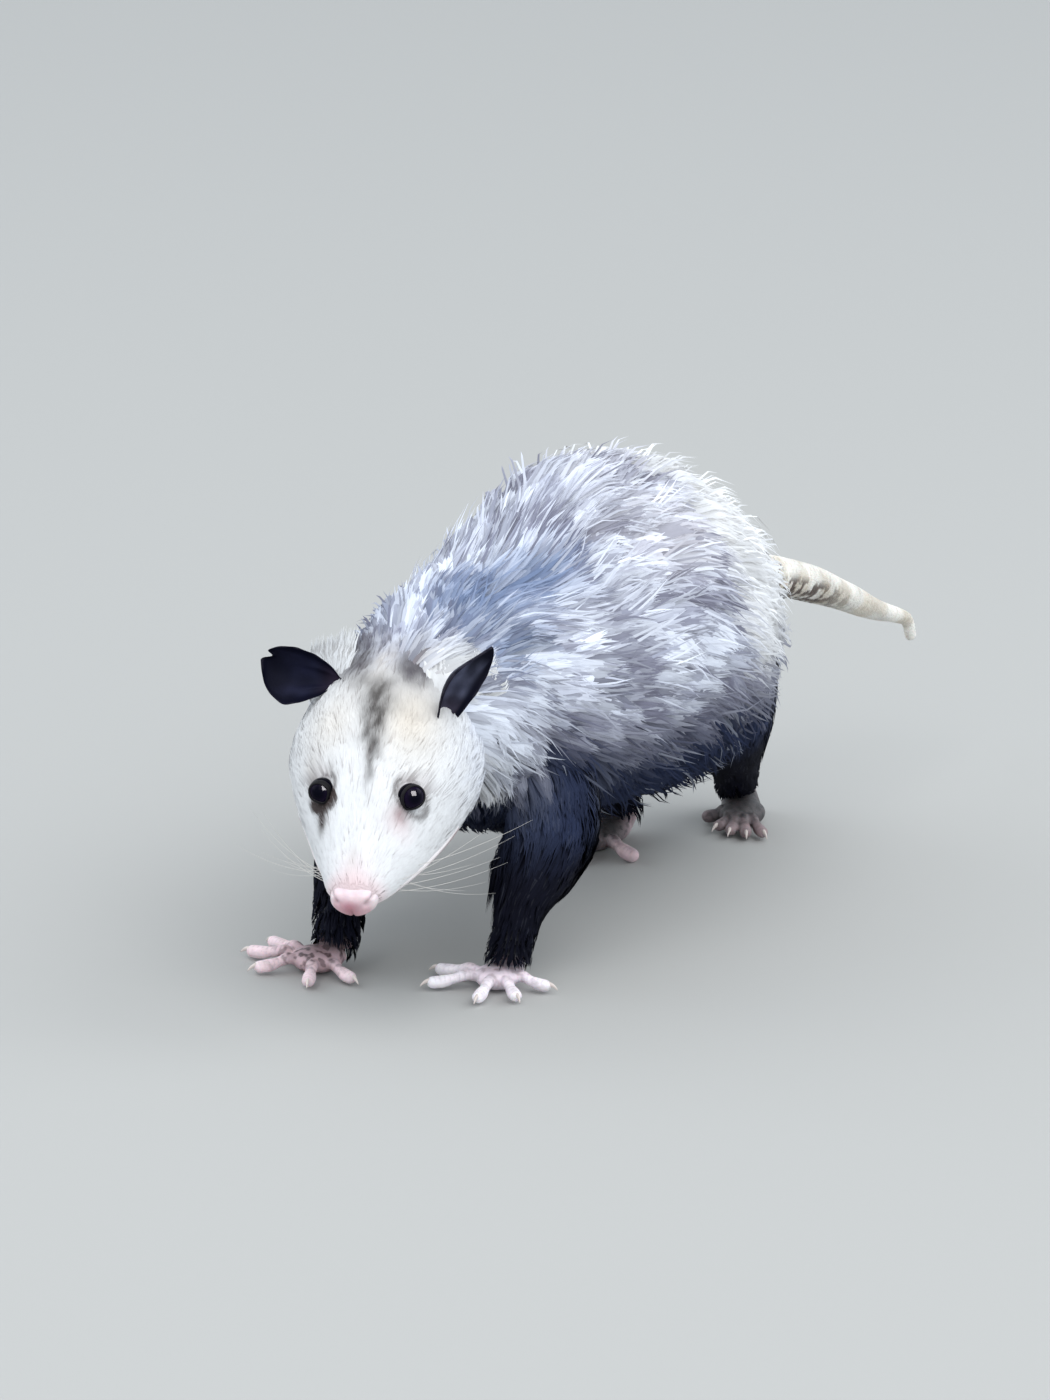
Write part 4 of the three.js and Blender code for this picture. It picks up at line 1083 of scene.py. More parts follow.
@dataclass
class Coat:
    """Tufts of one kind on one hide, with their length, lift and chance by the place of the root.

    Each is a three-sided blade from a random root, likelier where the skin's area is large. Its
    middle line runs along the hide by the cosine of its heading and round it by the sine, and
    climbs through the coat by a quarter sine. Tufts in one cell of a jittered grid form a lock:
    they share a turn, a lift and a shade, and their tips draw together.
    """

    shop: Workshop
    hide: Hide
    make: Tuft
    seed: int
    length_at: Field = everywhere
    lift_at: Field = everywhere
    chance_at: Field = everywhere
    lock_numbers: int = 99991

    def __post_init__(self) -> None:
        """Starts the tufts' own stream of random numbers."""
        self.rng = np.random.default_rng(self.seed)

    def roots(self) -> tuple[Array, Array]:
        """Places along and round the hide, spread by its area and by chance_at."""
        trial = self.make.count * 5
        along = self.rng.uniform(self.hide.start, self.hide.end, trial)
        turn = self.rng.uniform(0, TURN, trial)
        per_along, per_turn = self.hide.steps(along, turn)
        p = self.hide.point(along, turn, np.zeros(trial))
        weight = per_along * per_turn * self.chance_at(Roots(along, turn, p))
        weight /= np.percentile(weight, 96)
        kept = self.rng.uniform(0, 1, trial) < weight
        along, turn = along[kept][: self.make.count], turn[kept][: self.make.count]
        order = np.argsort(along, kind="stable")
        return along[order], turn[order]

    def locks(self, along: Array, turn: Array, mm_round: Array) -> tuple[Array, Array, Array]:
        """For each root its lock's middle, along and round, and the lock's own number."""
        long, wide = self.make.lock
        columns = np.maximum(np.round(np.median(mm_round) * TURN / wide), 5)
        row = along / long
        # Every other column starts half a lock further on, so that tips don't line up.
        column = np.floor((turn % TURN) / TURN * columns)
        row = row + 0.5 * (column % 2) + 0.35 * np.sin(column * 2.4)
        key = ((np.floor(row) * 7919 + column * 104729) % self.lock_numbers).astype(int)
        jitter = self.rng.uniform(-0.3, 0.3, (self.lock_numbers, 2))[key]
        offset = row - np.floor(row)
        middle_along = along + (0.5 - offset + jitter[:, 0]) * long
        middle_turn = (column + 0.5 + jitter[:, 1]) / columns * TURN
        return middle_along, middle_turn, key

    def spines(self, along: Array, turn: Array) -> tuple[Array, Array, Array, Array]:
        """Middle points, ways out, shades and lengths of every tuft.

        Returns:
            Points and outward directions, each tufts by stations by 3, then one shade and one
            length for each tuft.
        """
        make, rng, count = self.make, self.rng, len(along)
        p = self.hide.point(along, turn, np.zeros(count))
        per_along, per_turn = self.hide.steps(along, turn)
        mid_along, mid_turn, key = self.locks(along, turn, per_turn)
        shared = np.clip(rng.normal(0, 1, (self.lock_numbers, 4)), -2, 2)[key]
        deep = rng.uniform(0, 1, self.lock_numbers)[key] < make.shaded
        side = -np.sign(np.cos(turn))
        stray = 0.8 * shared[:, 0] + rng.normal(0, 0.6, count)
        heading = make.drop * np.abs(np.cos(turn)) * side
        heading += make.flow * ripple(p, 42, 11) + make.scatter * stray
        at = Roots(along, turn, p)
        length = make.length * self.length_at(at)
        length *= 1 + make.spread * (0.6 * shared[:, 1] + rng.uniform(-1, 1, count))
        length = np.maximum(length, 0.12 * make.length)
        tip = make.tip * self.lift_at(at)
        tip *= 1 + make.ruffle * shared[:, 2] + rng.normal(0, 0.02, count) - 0.07 * deep
        tip = np.minimum(tip, make.highest)
        f = make.stations()
        run = length[:, None] * f
        u = along[:, None] + run * np.cos(heading)[:, None] / per_along[:, None]
        v = turn[:, None] + run * np.sin(heading)[:, None] / per_turn[:, None]
        draw = make.pull * f**2
        off_turn = (mid_turn - turn % TURN + math.pi) % TURN - math.pi
        u += (mid_along - along)[:, None] * draw
        v += off_turn[:, None] * draw
        share = make.root + (tip[:, None] - make.root) * np.sin(f * math.pi / 2) ** make.curve
        middle = self.hide.point(u, v, share)
        middle[..., 2] = np.maximum(middle[..., 2], CLEAR)
        away = self.hide.out(u, v, np.maximum(share, 0.3))
        # Shade: random tone for each lock and hair, and painted shade that darkens the deeper locks to 0.8.
        shade = 1 + make.lock_bright * 0.8 * shared[:, 3] + make.bright * rng.normal(0, 1, count)
        return middle, away, np.clip(shade * np.where(deep, 0.8, 1.0), 0.4, 1.35), length

    def blades(self, middle: Array, away: Array, length: Array) -> Shape:
        """The blades as one shape.

        Half widths fall as the square root of what is left of the length, and a section is a
        triangle of two edges and a ridge. Normals are mostly the coat's way out, so that the
        shading is that of soft fur.
        """
        make, count = self.make, len(middle)
        rings = make.rings
        f = make.stations()[:rings]
        way = unit(np.gradient(middle, axis=1))[:, :rings]
        out = away[:, :rings]
        side = unit(np.cross(out, way))
        roll = self.rng.normal(0, 0.2, count)[:, None, None]
        side, out = side * np.cos(roll) + out * np.sin(roll), out * np.cos(roll) - side * np.sin(roll)
        width = make.width * (1 + make.spread * self.rng.uniform(-1, 1, count))
        width *= np.sqrt(np.clip(length / make.length, 0.3, 1.3))
        half = (width[:, None] / 2 * np.sqrt(1 - f) * (0.75 + 0.5 * np.sin(f * math.pi)))[..., None]
        middles = middle[:, :rings]
        ridge = middles + out * half * 2 * make.thick
        rows = np.stack([middles + side * half, middles - side * half, ridge], axis=2)
        points = make.corners(rows, middle[:, -1:])
        own = unit(out - (out * way).sum(axis=-1, keepdims=True) * way)
        top = unit(own * make.gloss + away[:, :rings] * (1 - make.gloss))
        lit = unit(np.stack([top + side * make.round, top - side * make.round, top], axis=2))
        normals = make.corners(lit, away[:, -1:])
        per = rings * 3 + 1
        first = (np.arange(count) * per)[:, None, None]
        ring = np.arange(rings - 1)[:, None] * 3
        corner, after = np.arange(3), (np.arange(3) + 1) % 3
        quads = np.stack([ring + corner, ring + after, ring + after + 3, ring + corner + 3], axis=-1)
        last = (rings - 1) * 3
        tip = np.stack([last + corner, last + after, np.full(3, per - 1)], axis=-1)
        tris = np.concatenate([tip, [[0, 2, 1]]])
        return Shape(
            points.reshape(-1, 3),
            (first[..., None] + quads).reshape(-1, 4),
            (first + tris).reshape(-1, 3),
            normals.reshape(-1, 3),
        )

    def colours(self, middle: Array, shade: Array) -> Array:
        """The wool's colour at the root turning into the marking's colour towards the tip."""
        make, count = self.make, len(middle)
        stations = make.rings + 1
        if make.printed:
            place = middle.reshape(-1, 3)
            tips = MARKINGS.tips(place).reshape(count, stations, 3)
            wool = MARKINGS.under(place).reshape(count, stations, 3)
        else:
            # The marking is read at the outer part of the tuft, which shows.
            place = (middle[:, -2] + middle[:, -1]) / 2
            tips, wool = MARKINGS.tips(place)[:, None], MARKINGS.under(place)[:, None]
        if make.tint:
            tips = wool = np.broadcast_to(getattr(MARKINGS, make.tint), tips.shape)
        white = self.rng.uniform(0, 1, count) < make.pale
        tips = mixed(tips, MARKINGS.frost, make.paler * white[:, None])
        f = make.stations()
        outer = (smooth(f, 0.0, 0.75) * (1 - make.under))[None, :, None]
        colour = (wool * (1 - outer) + tips * outer) * shade[:, None, None]
        return make.corners(np.repeat(colour[:, : make.rings], 3, axis=1), colour[:, -1:]).reshape(-1, 3)

    def bake_places(self, along: Array, turn: Array) -> Array:
        """Each tuft's own small patch at its root's place on the unwrapped skin."""
        make = self.make
        centre = self.hide.chart(along, turn)
        f = np.append(np.repeat(make.stations()[:-1], 3), 1.0) - 0.5
        across = np.append(np.tile([-0.5, 0.5, 0.0], make.rings), 0.0)
        patch = np.stack([across, f], axis=-1) * BAKE_PATCH
        return np.clip(centre[:, None] + patch, 0.0, 1.0).reshape(-1, 2)

    def build(self, name: str, look: Look, slot: str, pieces: int = 1) -> None:
        """Grows the tufts and cuts them into pieces along the hide.

        Args:
            name: the name of the piece, numbered when there are several.
            look: its finish.
            slot: its material slot.
            pieces: how many pieces share the tufts.
        """
        along, turn = self.roots()
        middle, away, shade, length = self.spines(along, turn)
        for number, part in enumerate(np.array_split(np.arange(len(along)), pieces)):
            title = name if pieces == 1 else f"{name}_{number + 1}"
            piece = self.shop.mesh(title, self.blades(middle[part], away[part], length[part]))
            self.shop.paint(piece, self.colours(middle[part], shade[part]))
            corners = np.empty(len(piece.data.loops), np.int32)
            piece.data.loops.foreach_get("vertex_index", corners)
            layer = piece.data.uv_layers.new(name=BAKE_MAP)
            bake = self.bake_places(along[part], turn[part])
            layer.data.foreach_set("uv", bake[corners].astype(np.float32).ravel())
            self.shop.present(piece, look, slot)


def box_middle(node: str) -> Array:
    """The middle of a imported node's box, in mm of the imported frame."""
    low, high = (np.array(corner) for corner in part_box(node))
    return (low + high) / 2 / MM


def leg_cover(p: Array) -> Array:
    """Whether points are inside any bare leg."""
    return np.any([limb.holds(p) for limb in LEG_HIDES.values()], axis=0)


@dataclass
class BodyCoat:
    """Long guard hair and dark wool over neck, body and rump."""

    shop: Workshop
    guard: Tuft = Tuft(
        count=46000, length=38, width=3.5, thick=0.1, tip=0.84, lock=(20, 9), bright=0.015,
        lock_bright=0.12, pale=0.02, paler=0.2,
    )
    wool: Tuft = Tuft(count=6000, length=22, width=3.4, tip=0.5, rings=2, pull=0.3, under=0.7)
    awn: Tuft = Tuft(
        count=2400, length=46, width=1.6, tip=1.14, highest=1.7, lock=(16, 10), pull=0.75, scatter=0.2,
        pale=0.1, paler=0.2, shaded=0.0, curve=1.1,
    )
    chest: Tuft = Tuft(
        count=4200, length=20, width=2.0, tip=1.15, highest=1.7, rings=2, lock=(9, 6), drop=0.9
    )

    def length(self, at: Roots) -> Array:
        """Shorter on the neck and belly, longest along the back and flank."""
        neck = 0.62 + 0.38 * smooth(at.along, -60, 20)
        belly = 1 - 0.35 * smooth(-at.rise, 0.3, 1)
        rump = 1 - 0.25 * smooth(at.along, 240, 300)
        return neck * belly * rump

    def lift(self, at: Roots) -> Array:
        """Hair stands highest on the crest of shoulder and back and lies flattest on the flank."""
        above = smooth(at.rise, 0.2, 0.9)
        neck = bell(at.p[:, 1], 22, 46) * above
        saddle = bell(at.p[:, 1], 66, 22) * above
        low = smooth(-at.rise, 0.4, 1)
        return 0.96 + 0.16 * ripple(at.p, 18, 12) * above - 0.24 * neck - 0.32 * saddle - 0.08 * low

    def chance(self, at: Roots) -> Array:
        """None grow inside the head or the legs, and fewer under the belly."""
        free = ~SKULL.holds(at.p, 0.9) & ~leg_cover(at.p)
        return free * (1 - 0.45 * smooth(-at.rise, 0.5, 1))

    def chest_chance(self, at: Roots) -> Array:
        """Only under the throat and between the forelegs."""
        low = smooth(-at.rise, 0.25, 0.6) * smooth(-at.along, -24, -4)
        return low * ~SKULL.holds(at.p, 0.9)

    def build(self) -> None:
        """Grows the wool, the guard hair, the longest single hairs and the chest's fringe."""
        kinds = (("wool", self.wool, 1, 31), ("guard", self.guard, 5, 32), ("awn", self.awn, 1, 33))
        for name, make, pieces, seed in kinds:
            coat = Coat(self.shop, TRUNK_HIDE, make, seed, self.length, self.lift, self.chance)
            coat.build(f"coat_{name}", Look.GUARD, "coat", pieces)
        fringe = Coat(self.shop, TRUNK_HIDE, self.chest, 34, chance_at=self.chest_chance)
        fringe.build("coat_chest", Look.DARK, "coat")


SHORT_FUR = Tuft(
    count=0, length=10, width=1.5, thick=0.12, rings=2, pull=0.5, bright=0.02, lock_bright=0.03, shaded=0.0,
    round=0.03, gloss=0.03,
)


@dataclass
class HeadCoat:
    """Short face fur that lengthens over the crown into the cheeks' ruff."""

    shop: Workshop
    face: Tuft = replace(
        SHORT_FUR, count=27000, length=8, width=1.3, thick=0.15, tip=0.55, drop=0.12, lock=(6, 4), pull=0.3,
        ruffle=0.04, bright=0.015, lock_bright=0.015, printed=True,
    )
    ruff: Tuft = replace(
        SHORT_FUR, count=9000, length=16, width=1.9, tip=0.66, drop=0.15, lock=(10, 6), flow=0.25,
        ruffle=0.03, scatter=0.08, round=0.04, gloss=0.04, printed=True,
    )
    crest: Tuft = replace(
        SHORT_FUR, count=14000, length=22, width=3.0, tip=1.0, highest=4.2, drop=0.1, lock=(8, 7),
        curve=0.7, tint="white",
    )

    def eye_room(self, p: Array) -> Array:
        """How far each root is from the nearer eye's rim, in mm."""
        t, side, up = SKULL.locate(p)
        away = np.stack([t - EYE_AT[0], np.abs(side) - EYE_AT[1], up - EYE_AT[2]], axis=-1)
        return np.linalg.norm(away, axis=-1) - EYE_RADIUS - 0.8

    def face_length(self, at: Roots) -> Array:
        """In step with the coat's depth; ahead of an eye it stops at the rim."""
        depth = HEAD.at("fur", at.along) * (1 - CROWN_CLOSE * np.maximum(0, at.rise))
        grown = (3.6 + 1.5 * depth) / self.face.length
        ahead = at.along < EYE_AT[0] + 4
        room = np.where(ahead, np.maximum(self.eye_room(at.p), 0) / self.face.length, 9.0)
        return np.minimum(grown, room + 0.1)

    def face_chance(self, at: Roots) -> Array:
        """Nothing on the nose pad or in the eyes, and less where the ruff grows."""
        above = smooth(at.rise, -0.1, 0.5)
        nose = smooth(at.along - 1.5 * above, 2.2, 4.5)
        dense = 1.6 - 0.9 * smooth(at.along, 40, 96)
        return nose * (self.eye_room(at.p) > 0.3) * dense

    def ruff_length(self, at: Roots) -> Array:
        """Longest on the cheeks, short under the jaw."""
        cheek = np.abs(np.cos(at.turn)) ** 2
        jaw = smooth(-at.rise, -0.1, 0.5)
        return (0.6 + 0.4 * cheek) * (1 - 0.5 * jaw)

    def ruff_chance(self, at: Roots) -> Array:
        """From the cheekbone back, not inside the neck, and fewer low down behind the jaw."""
        low = smooth(-at.rise, -0.1, 0.4) * smooth(at.along, 88, 100)
        crown = smooth(at.rise, 0.2, 0.6) * smooth(at.along, 98, 112)
        return smooth(at.along, 60, 84) * ~TRUNK_HIDE.holds(at.p) * (1 - 0.95 * low) * (1 - 0.85 * crown)

    def crest_chance(self, at: Roots) -> Array:
        """Only beside the roots of the ears."""
        t, side, up = SKULL.locate(at.p)
        left = bell(t, 115, 6) * bell(side, 30, 3)
        right = bell(t, 116, 6) * bell(side, -32, 3.5)
        return (left + right) * (up > 0)

    def crest_lift(self, at: Roots) -> Array:
        """A fluff that stands highest in its middle, more by the right ear."""
        t, side, _ = SKULL.locate(at.p)
        left = 2.4 * bell(t, 114, 9) * bell(side, 31, 8)
        right = 3.0 * bell(t, 115, 10) * bell(side, -31, 8)
        return 0.8 + left + right

    def build(self) -> None:
        """Grows the face fur, the ruff and the tufts beside the ears."""
        kinds = (
            ("face_fur", 2, self.face, 41, self.face_length, everywhere, self.face_chance),
            ("ruff", 1, self.ruff, 42, self.ruff_length, everywhere, self.ruff_chance),
            ("ear_tufts", 1, self.crest, 43, everywhere, self.crest_lift, self.crest_chance),
        )
        for name, pieces, *growth in kinds:
            Coat(self.shop, SKULL, *growth).build(name, Look.FACE_FUR, "face_fur", pieces)


@dataclass
class LegCoats:
    """Close dark fur on the legs, shaggy behind elbow and thigh."""

    shop: Workshop
    close: Tuft = Tuft(
        count=4600, length=16, width=1.8, tip=1.0, highest=6.0, rings=2, drop=0.0, lock=(9, 5), pull=0.6,
        pale=0.1, paler=0.015, gloss=0.2, round=0.2,
    )
    past_wrist: float = 4.0

    def build(self) -> None:
        """Grows the fur of each leg in a piece of its own."""
        for number, (name, limb) in enumerate(LEG_HIDES.items()):
            inner = -0.55 if name.endswith("left") else math.pi + 0.55
            length = partial(self.length, limb.end)
            lift = partial(self.lift, limb.end, inner, "fore" in name)
            coat = Coat(self.shop, limb, self.close, 50 + number, length, lift, self.chance)
            coat.build(f"fur_{name}", Look.DARK, "dark_fur")

    def chance(self, at: Roots) -> Array:
        """None grow inside the trunk."""
        return (~TRUNK_HIDE.holds(at.p)).astype(float)

    def length(self, end: float, at: Roots) -> Array:
        """Long above, longer still at the back of the elbow, and never far past the wrist."""
        grown = 1.5 - 0.95 * smooth(at.along, 0.45 * end, 0.9 * end)
        grown *= 1 + 0.45 * smooth(at.rise, 0.3, 1) * bell(at.along, 0.5 * end, 0.28 * end)
        return np.minimum(grown, np.maximum(end + self.past_wrist - at.along, 1) / self.close.length)

    def lift(self, end: float, inner: float, fore: bool, at: Roots) -> Array:
        """Shaggier behind, and on a foreleg also in front and inside, where the chest meets it."""
        behind = 0.5 * smooth(at.rise, 0.2, 1)
        beside = np.exp(-(((at.turn - inner + math.pi) % TURN - math.pi) / 0.8) ** 2)
        chest = 2.2 * beside * bell(at.along, 0.45 * end, 0.16 * end) * fore
        cuff = 0.8 * smooth(at.along, 0.78 * end, 0.95 * end) * (1 - 0.5 * smooth(at.rise, -0.2, 0.8))
        return 1.0 + behind + chest + cuff


# Skin and bare parts


@dataclass
class Skin:
    """One skin under the whole coat: head, neck, body and legs melted together."""

    shop: Workshop
    voxel: float = 2.2
    rounds: int = 6

    def build(self) -> Piece:
        """Lofts each part's bare form, fuses them and paints the markings on."""
        trunk = TRUNK_HIDE.skin_grid(150, 96)
        head = SKULL.skin_grid(90, 72)
        shapes = [
            lofted(trunk),
            lofted(head, SKULL.place(-1.0, 0.0, -2.0), SKULL.place(HEAD_END + 1, 0.0, -4.0)),
        ]
        shapes += [lofted(limb.skin_grid(60, 40)) for limb in LEG_HIDES.values()]
        piece = self.shop.fused("skin", shapes, self.voxel, self.rounds)
        self.shop.paint(piece, MARKINGS.under(self.shop.points(piece)))
        replaced = ["head", "neck", "torso", *LEG_HIDES]
        return self.shop.present(piece, Look.HIDE, "coat", replaced)


@dataclass
class Eyes:
    """Glossy black eyes in dark rims, set as deep as the skull holds them."""

    shop: Workshop
    radius: float = EYE_RADIUS
    rim_angles: tuple[float, float] = (math.radians(52), math.radians(41))  # half the openings, left first
    shifted: Point = (0.12, -0.42, -0.06)  # the right opening's way less the look
    flatten: float = 0.86  # the opening is lower than it is wide
    rim_radius: float = 0.8
    corner: float = 0.34  # how much further the opening reaches at the inner corner
    corner_way: Point = (0.75, -0.5, -0.55)  # ahead, outwards and up
    black: Colour = (0.001, 0.001, 0.005)
    iris: Colour = (0.006, 0.003, 0.014)
    rim: Colour = (0.003, 0.0025, 0.004)
    skirts: tuple[Colour, Colour] = ((0.09, 0.06, 0.06), (0.03, 0.02, 0.02))  # where a lid meets the fur

    def axes(self, side: float) -> Array:
        """Rows: across the eye, up the eye and the way that its opening faces."""
        ahead, outward, up = np.array(EYE_LOOK) + np.array(self.shifted) * (side < 0)
        look = unit(SKULL.way(ahead, outward * side, up))
        across = unit(np.cross(look, SKULL.up))
        return np.stack([across, np.cross(across, look) * -1, look])

    def ball(self, centre: Array, axes: Array) -> tuple[Shape, Array]:
        """A ball with a slight corneal swell: radius grows by a bell about the look."""
        shape = ball(centre, np.full(3, self.radius), axes, 40, 56)
        way = unit(shape.points - centre)
        angle = np.arccos(np.clip(way @ axes[2], -1, 1))
        shape.points = centre + way * (self.radius * (1 + 0.035 * bell(angle, 0, 0.55)))[:, None]
        return shape, angle

    def lid(self, centre: Array, axes: Array, side: float) -> tuple[Shape, Array]:
        """A ring that hugs the ball: a round section carried round an oval opening.

        A bell draws the opening out towards its inner corner. The section is a circle with a
        skirt that runs under the fur. Returns the shape and each point's way out, from 0 to 1.
        """
        b = np.linspace(0, TURN, 96, endpoint=False)[:, None]
        a = np.linspace(0, TURN, 18, endpoint=False)
        ahead, outward, up = self.corner_way
        inner = SKULL.way(ahead, outward * side, up)
        off = b - math.atan2(float(inner @ axes[1]), float(inner @ axes[0]))
        off = (off + math.pi) % TURN - math.pi
        open_to = self.rim_angles[0 if side > 0 else 1] * np.hypot(np.cos(b), self.flatten * np.sin(b))
        open_to = open_to * (1 + self.corner * bell(off, 0.0, 0.42))
        skirt = np.where(np.cos(a) > 0, 2.8 if side > 0 else 4.6, 1.0)
        angle = open_to + (self.rim_radius * (1 + skirt * np.cos(a))) / self.radius
        radius = self.radius + self.rim_radius * (0.2 + np.sin(a) * 0.7) - 0.9 * np.maximum(np.cos(a), 0)
        grid = centre + (on_ball(angle, b) * radius[..., None]) @ axes
        rings, sides, _ = grid.shape
        index = np.arange(rings * sides).reshape(rings, sides)
        after, beside = np.roll(index, -1, axis=0), np.roll(index, -1, axis=1)
        corner = np.roll(after, -1, axis=1)
        quads = np.stack([index, beside, corner, after], axis=-1).reshape(-1, 4)
        out = np.broadcast_to(np.maximum(np.cos(a), 0), (rings, sides)).ravel()
        return Shape(grid.reshape(-1, 3), quads), out

    def build(self) -> list[Piece]:
        """Makes each ball and its lid where the solids have the eye, and returns the balls."""
        balls = []
        for name, side in (("eye_left", 1.0), ("eye_right", -1.0)):
            centre = box_middle(name) - self.shop.shift
            axes = self.axes(side)
            shape, angle = self.ball(centre, axes)
            glint = mixed(self.black, self.iris, bell(angle, 0.75, 0.25))
            balls.append(self.shop.make(f"{name}_ball", shape, glint, Look.EYE, "eye", [name]))
            shape, out = self.lid(centre, axes, side)
            skin = mixed(self.rim, self.skirts[0 if side > 0 else 1], 0.8 * smooth(out, 0.5, 1))
            self.shop.make(f"{name}_lid", shape, skin, Look.LID, "face_fur")
        return balls


@dataclass
class Nose:
    """A broad moist pink pad with comma nostrils, raised rims round them and a cleft."""

    shop: Workshop
    t: float = 4.0
    up: float = -4.6
    half_width: float = 11.4
    half_depth: float = 8.0
    top: float = 8.6
    bottom: float = 8.4
    square: float = 2.25  # 2 is an oval, more is boxier
    nostril: Point = (7.2, 4.0, 3.6)  # aside, ahead and up from the middle

    def build(self) -> None:
        """Shapes the pad, dents it and colours it, with painted shade in its hollows and a painted
        highlight on its sides.

        A ray's length is the sum of its parts over the half sizes, each to the power square, to
        the power of minus one over square. Bells dent nostrils, cleft and saddle and raise rims.
        """
        unit_ball = ball(np.zeros(3), np.ones(3), np.eye(3), 90, 128)
        way = unit(unit_ball.points)
        narrow = 1 - 0.3 * smooth(-way[:, 2], 0.0, 0.95)
        high = np.where(way[:, 2] > 0, self.top, self.bottom)
        sizes = np.stack([self.half_width * narrow, np.full(len(way), self.half_depth), high], axis=1)
        radius = (np.abs(way / sizes) ** self.square).sum(axis=1) ** (-1 / self.square)
        local = way * radius[:, None]
        aside, ahead, rise = local[:, 0], local[:, 1], local[:, 2]
        pit, rim = np.zeros(len(way)), np.zeros(len(way))
        for side in (-1, 1):
            opening = self.dent(local, side, (0, 0, 0), (1.6, 2.6, 1.5))
            pit += opening + 0.7 * self.dent(local, side, (2.9, -2.4, 1.3), (2.2, 2.2, 0.8))
            rim += self.dent(local, side, (0.6, 0, 2.9), (3.2, 3.0, 1.6))
        cleft = bell(aside, 0, 0.7) * smooth(ahead, 1.5, 5.0) * smooth(-rise, -2.5, 1.5)
        saddle = bell(aside, 0, 3.4) * smooth(rise, 0, 5)
        radius = radius - 1.8 * np.clip(pit, 0, 1) + 0.5 * rim - 0.9 * cleft - 0.3 * saddle
        grid = SKULL.place(self.t, 0.0, self.up) + (way * radius[:, None]) @ HEAD_AXES
        front = bell(aside, -1.0, 7.5) * smooth(ahead, -2, 3) * smooth(-rise, -7.5, -2.5)
        colour = layered(
            (0.74, 0.50, 0.54),
            ((0.80, 0.63, 0.67), smooth(rise, 0.0, 4.0)),
            # Painted highlight: the pad's sides paler.
            ((0.80, 0.72, 0.74), 0.85 * smooth(np.abs(aside), 7.8, 10.2)),
            ((0.60, 0.31, 0.37), 0.9 * front),
            # Darker pink at the middle of the lower front, and painted shade in the cleft.
            ((0.42, 0.16, 0.20), 0.7 * bell(aside, -1.0, 4.2) * front + 0.25 * cleft),
            # Painted shade in the nostril pits.
            ((0.28, 0.17, 0.19), np.clip(0.9 * pit**1.2, 0, 1)),
        )
        pad = Shape(grid, unit_ball.quads, unit_ball.tris)
        self.shop.make("nose_pad", pad, colour, Look.NOSE, "pink_skin", ["nose"])

    def dent(self, local: Array, side: int, off: Sequence[float], size: Sequence[float]) -> Array:
        """A bell of one size set off from the nostril on one side, outwards, ahead and up."""
        at = (np.array(self.nostril) + off) * np.array([side, 1, 1])
        return np.exp(-(((local - at) / size) ** 2).sum(axis=1))


LIP_LINE = Stations("t up", [(3, -10.5), (12, -13), (25, -17), (40, -20), (52, -20), (60, -17)])


@dataclass
class Mouth:
    """Lips along the jaw with the dark line between them."""

    shop: Workshop
    line: Stations = LIP_LINE
    lips: tuple[tuple[float, float], ...] = ((1.4, 1.4), (-1.4, 1.3))  # off the line, and radius
    pale: Colour = (0.75, 0.71, 0.72)
    dark: Colour = (0.42, 0.33, 0.34)

    def roll(self, side: float, offset: float, radius: float, sunk: float) -> Shape:
        """A round cord along the skin at the mouth line's height, its radius a half sine."""
        t = np.linspace(5, 58, 48)
        up = self.line.at("up", t) + offset
        middle = HEAD.at("wide", t)
        reach = middle - HEAD.at("bottom", t) + 0.7 * HEAD.at("fur", t)
        turn = np.arcsin(np.clip((up - middle) / reach, -1, 1))
        turn = turn if side > 0 else math.pi - turn
        spine = SKULL.point(t, turn, np.full(len(t), 0.7)) - SKULL.side * side * sunk
        size = radius * np.sin(np.linspace(0.35, math.pi - 0.2, len(t)))
        grid = spine[:, None] + size[:, None, None] * rings_round(spine, SKULL.up, 12)
        return lofted(grid)

    def build(self) -> None:
        """Makes the lips and the dark line."""
        sides = (-1.0, 1.0)
        lips = [self.roll(side, offset, radius, 1.0) for side in sides for offset, radius in self.lips]
        seam = [self.roll(side, 0.0, 0.8, 0.4) for side in sides]
        self.shop.make("lips", Shape.joined(lips), self.pale, Look.LID, "face_fur")
        self.shop.make("mouth_line", Shape.joined(seam), self.dark, Look.LID, "face_fur")


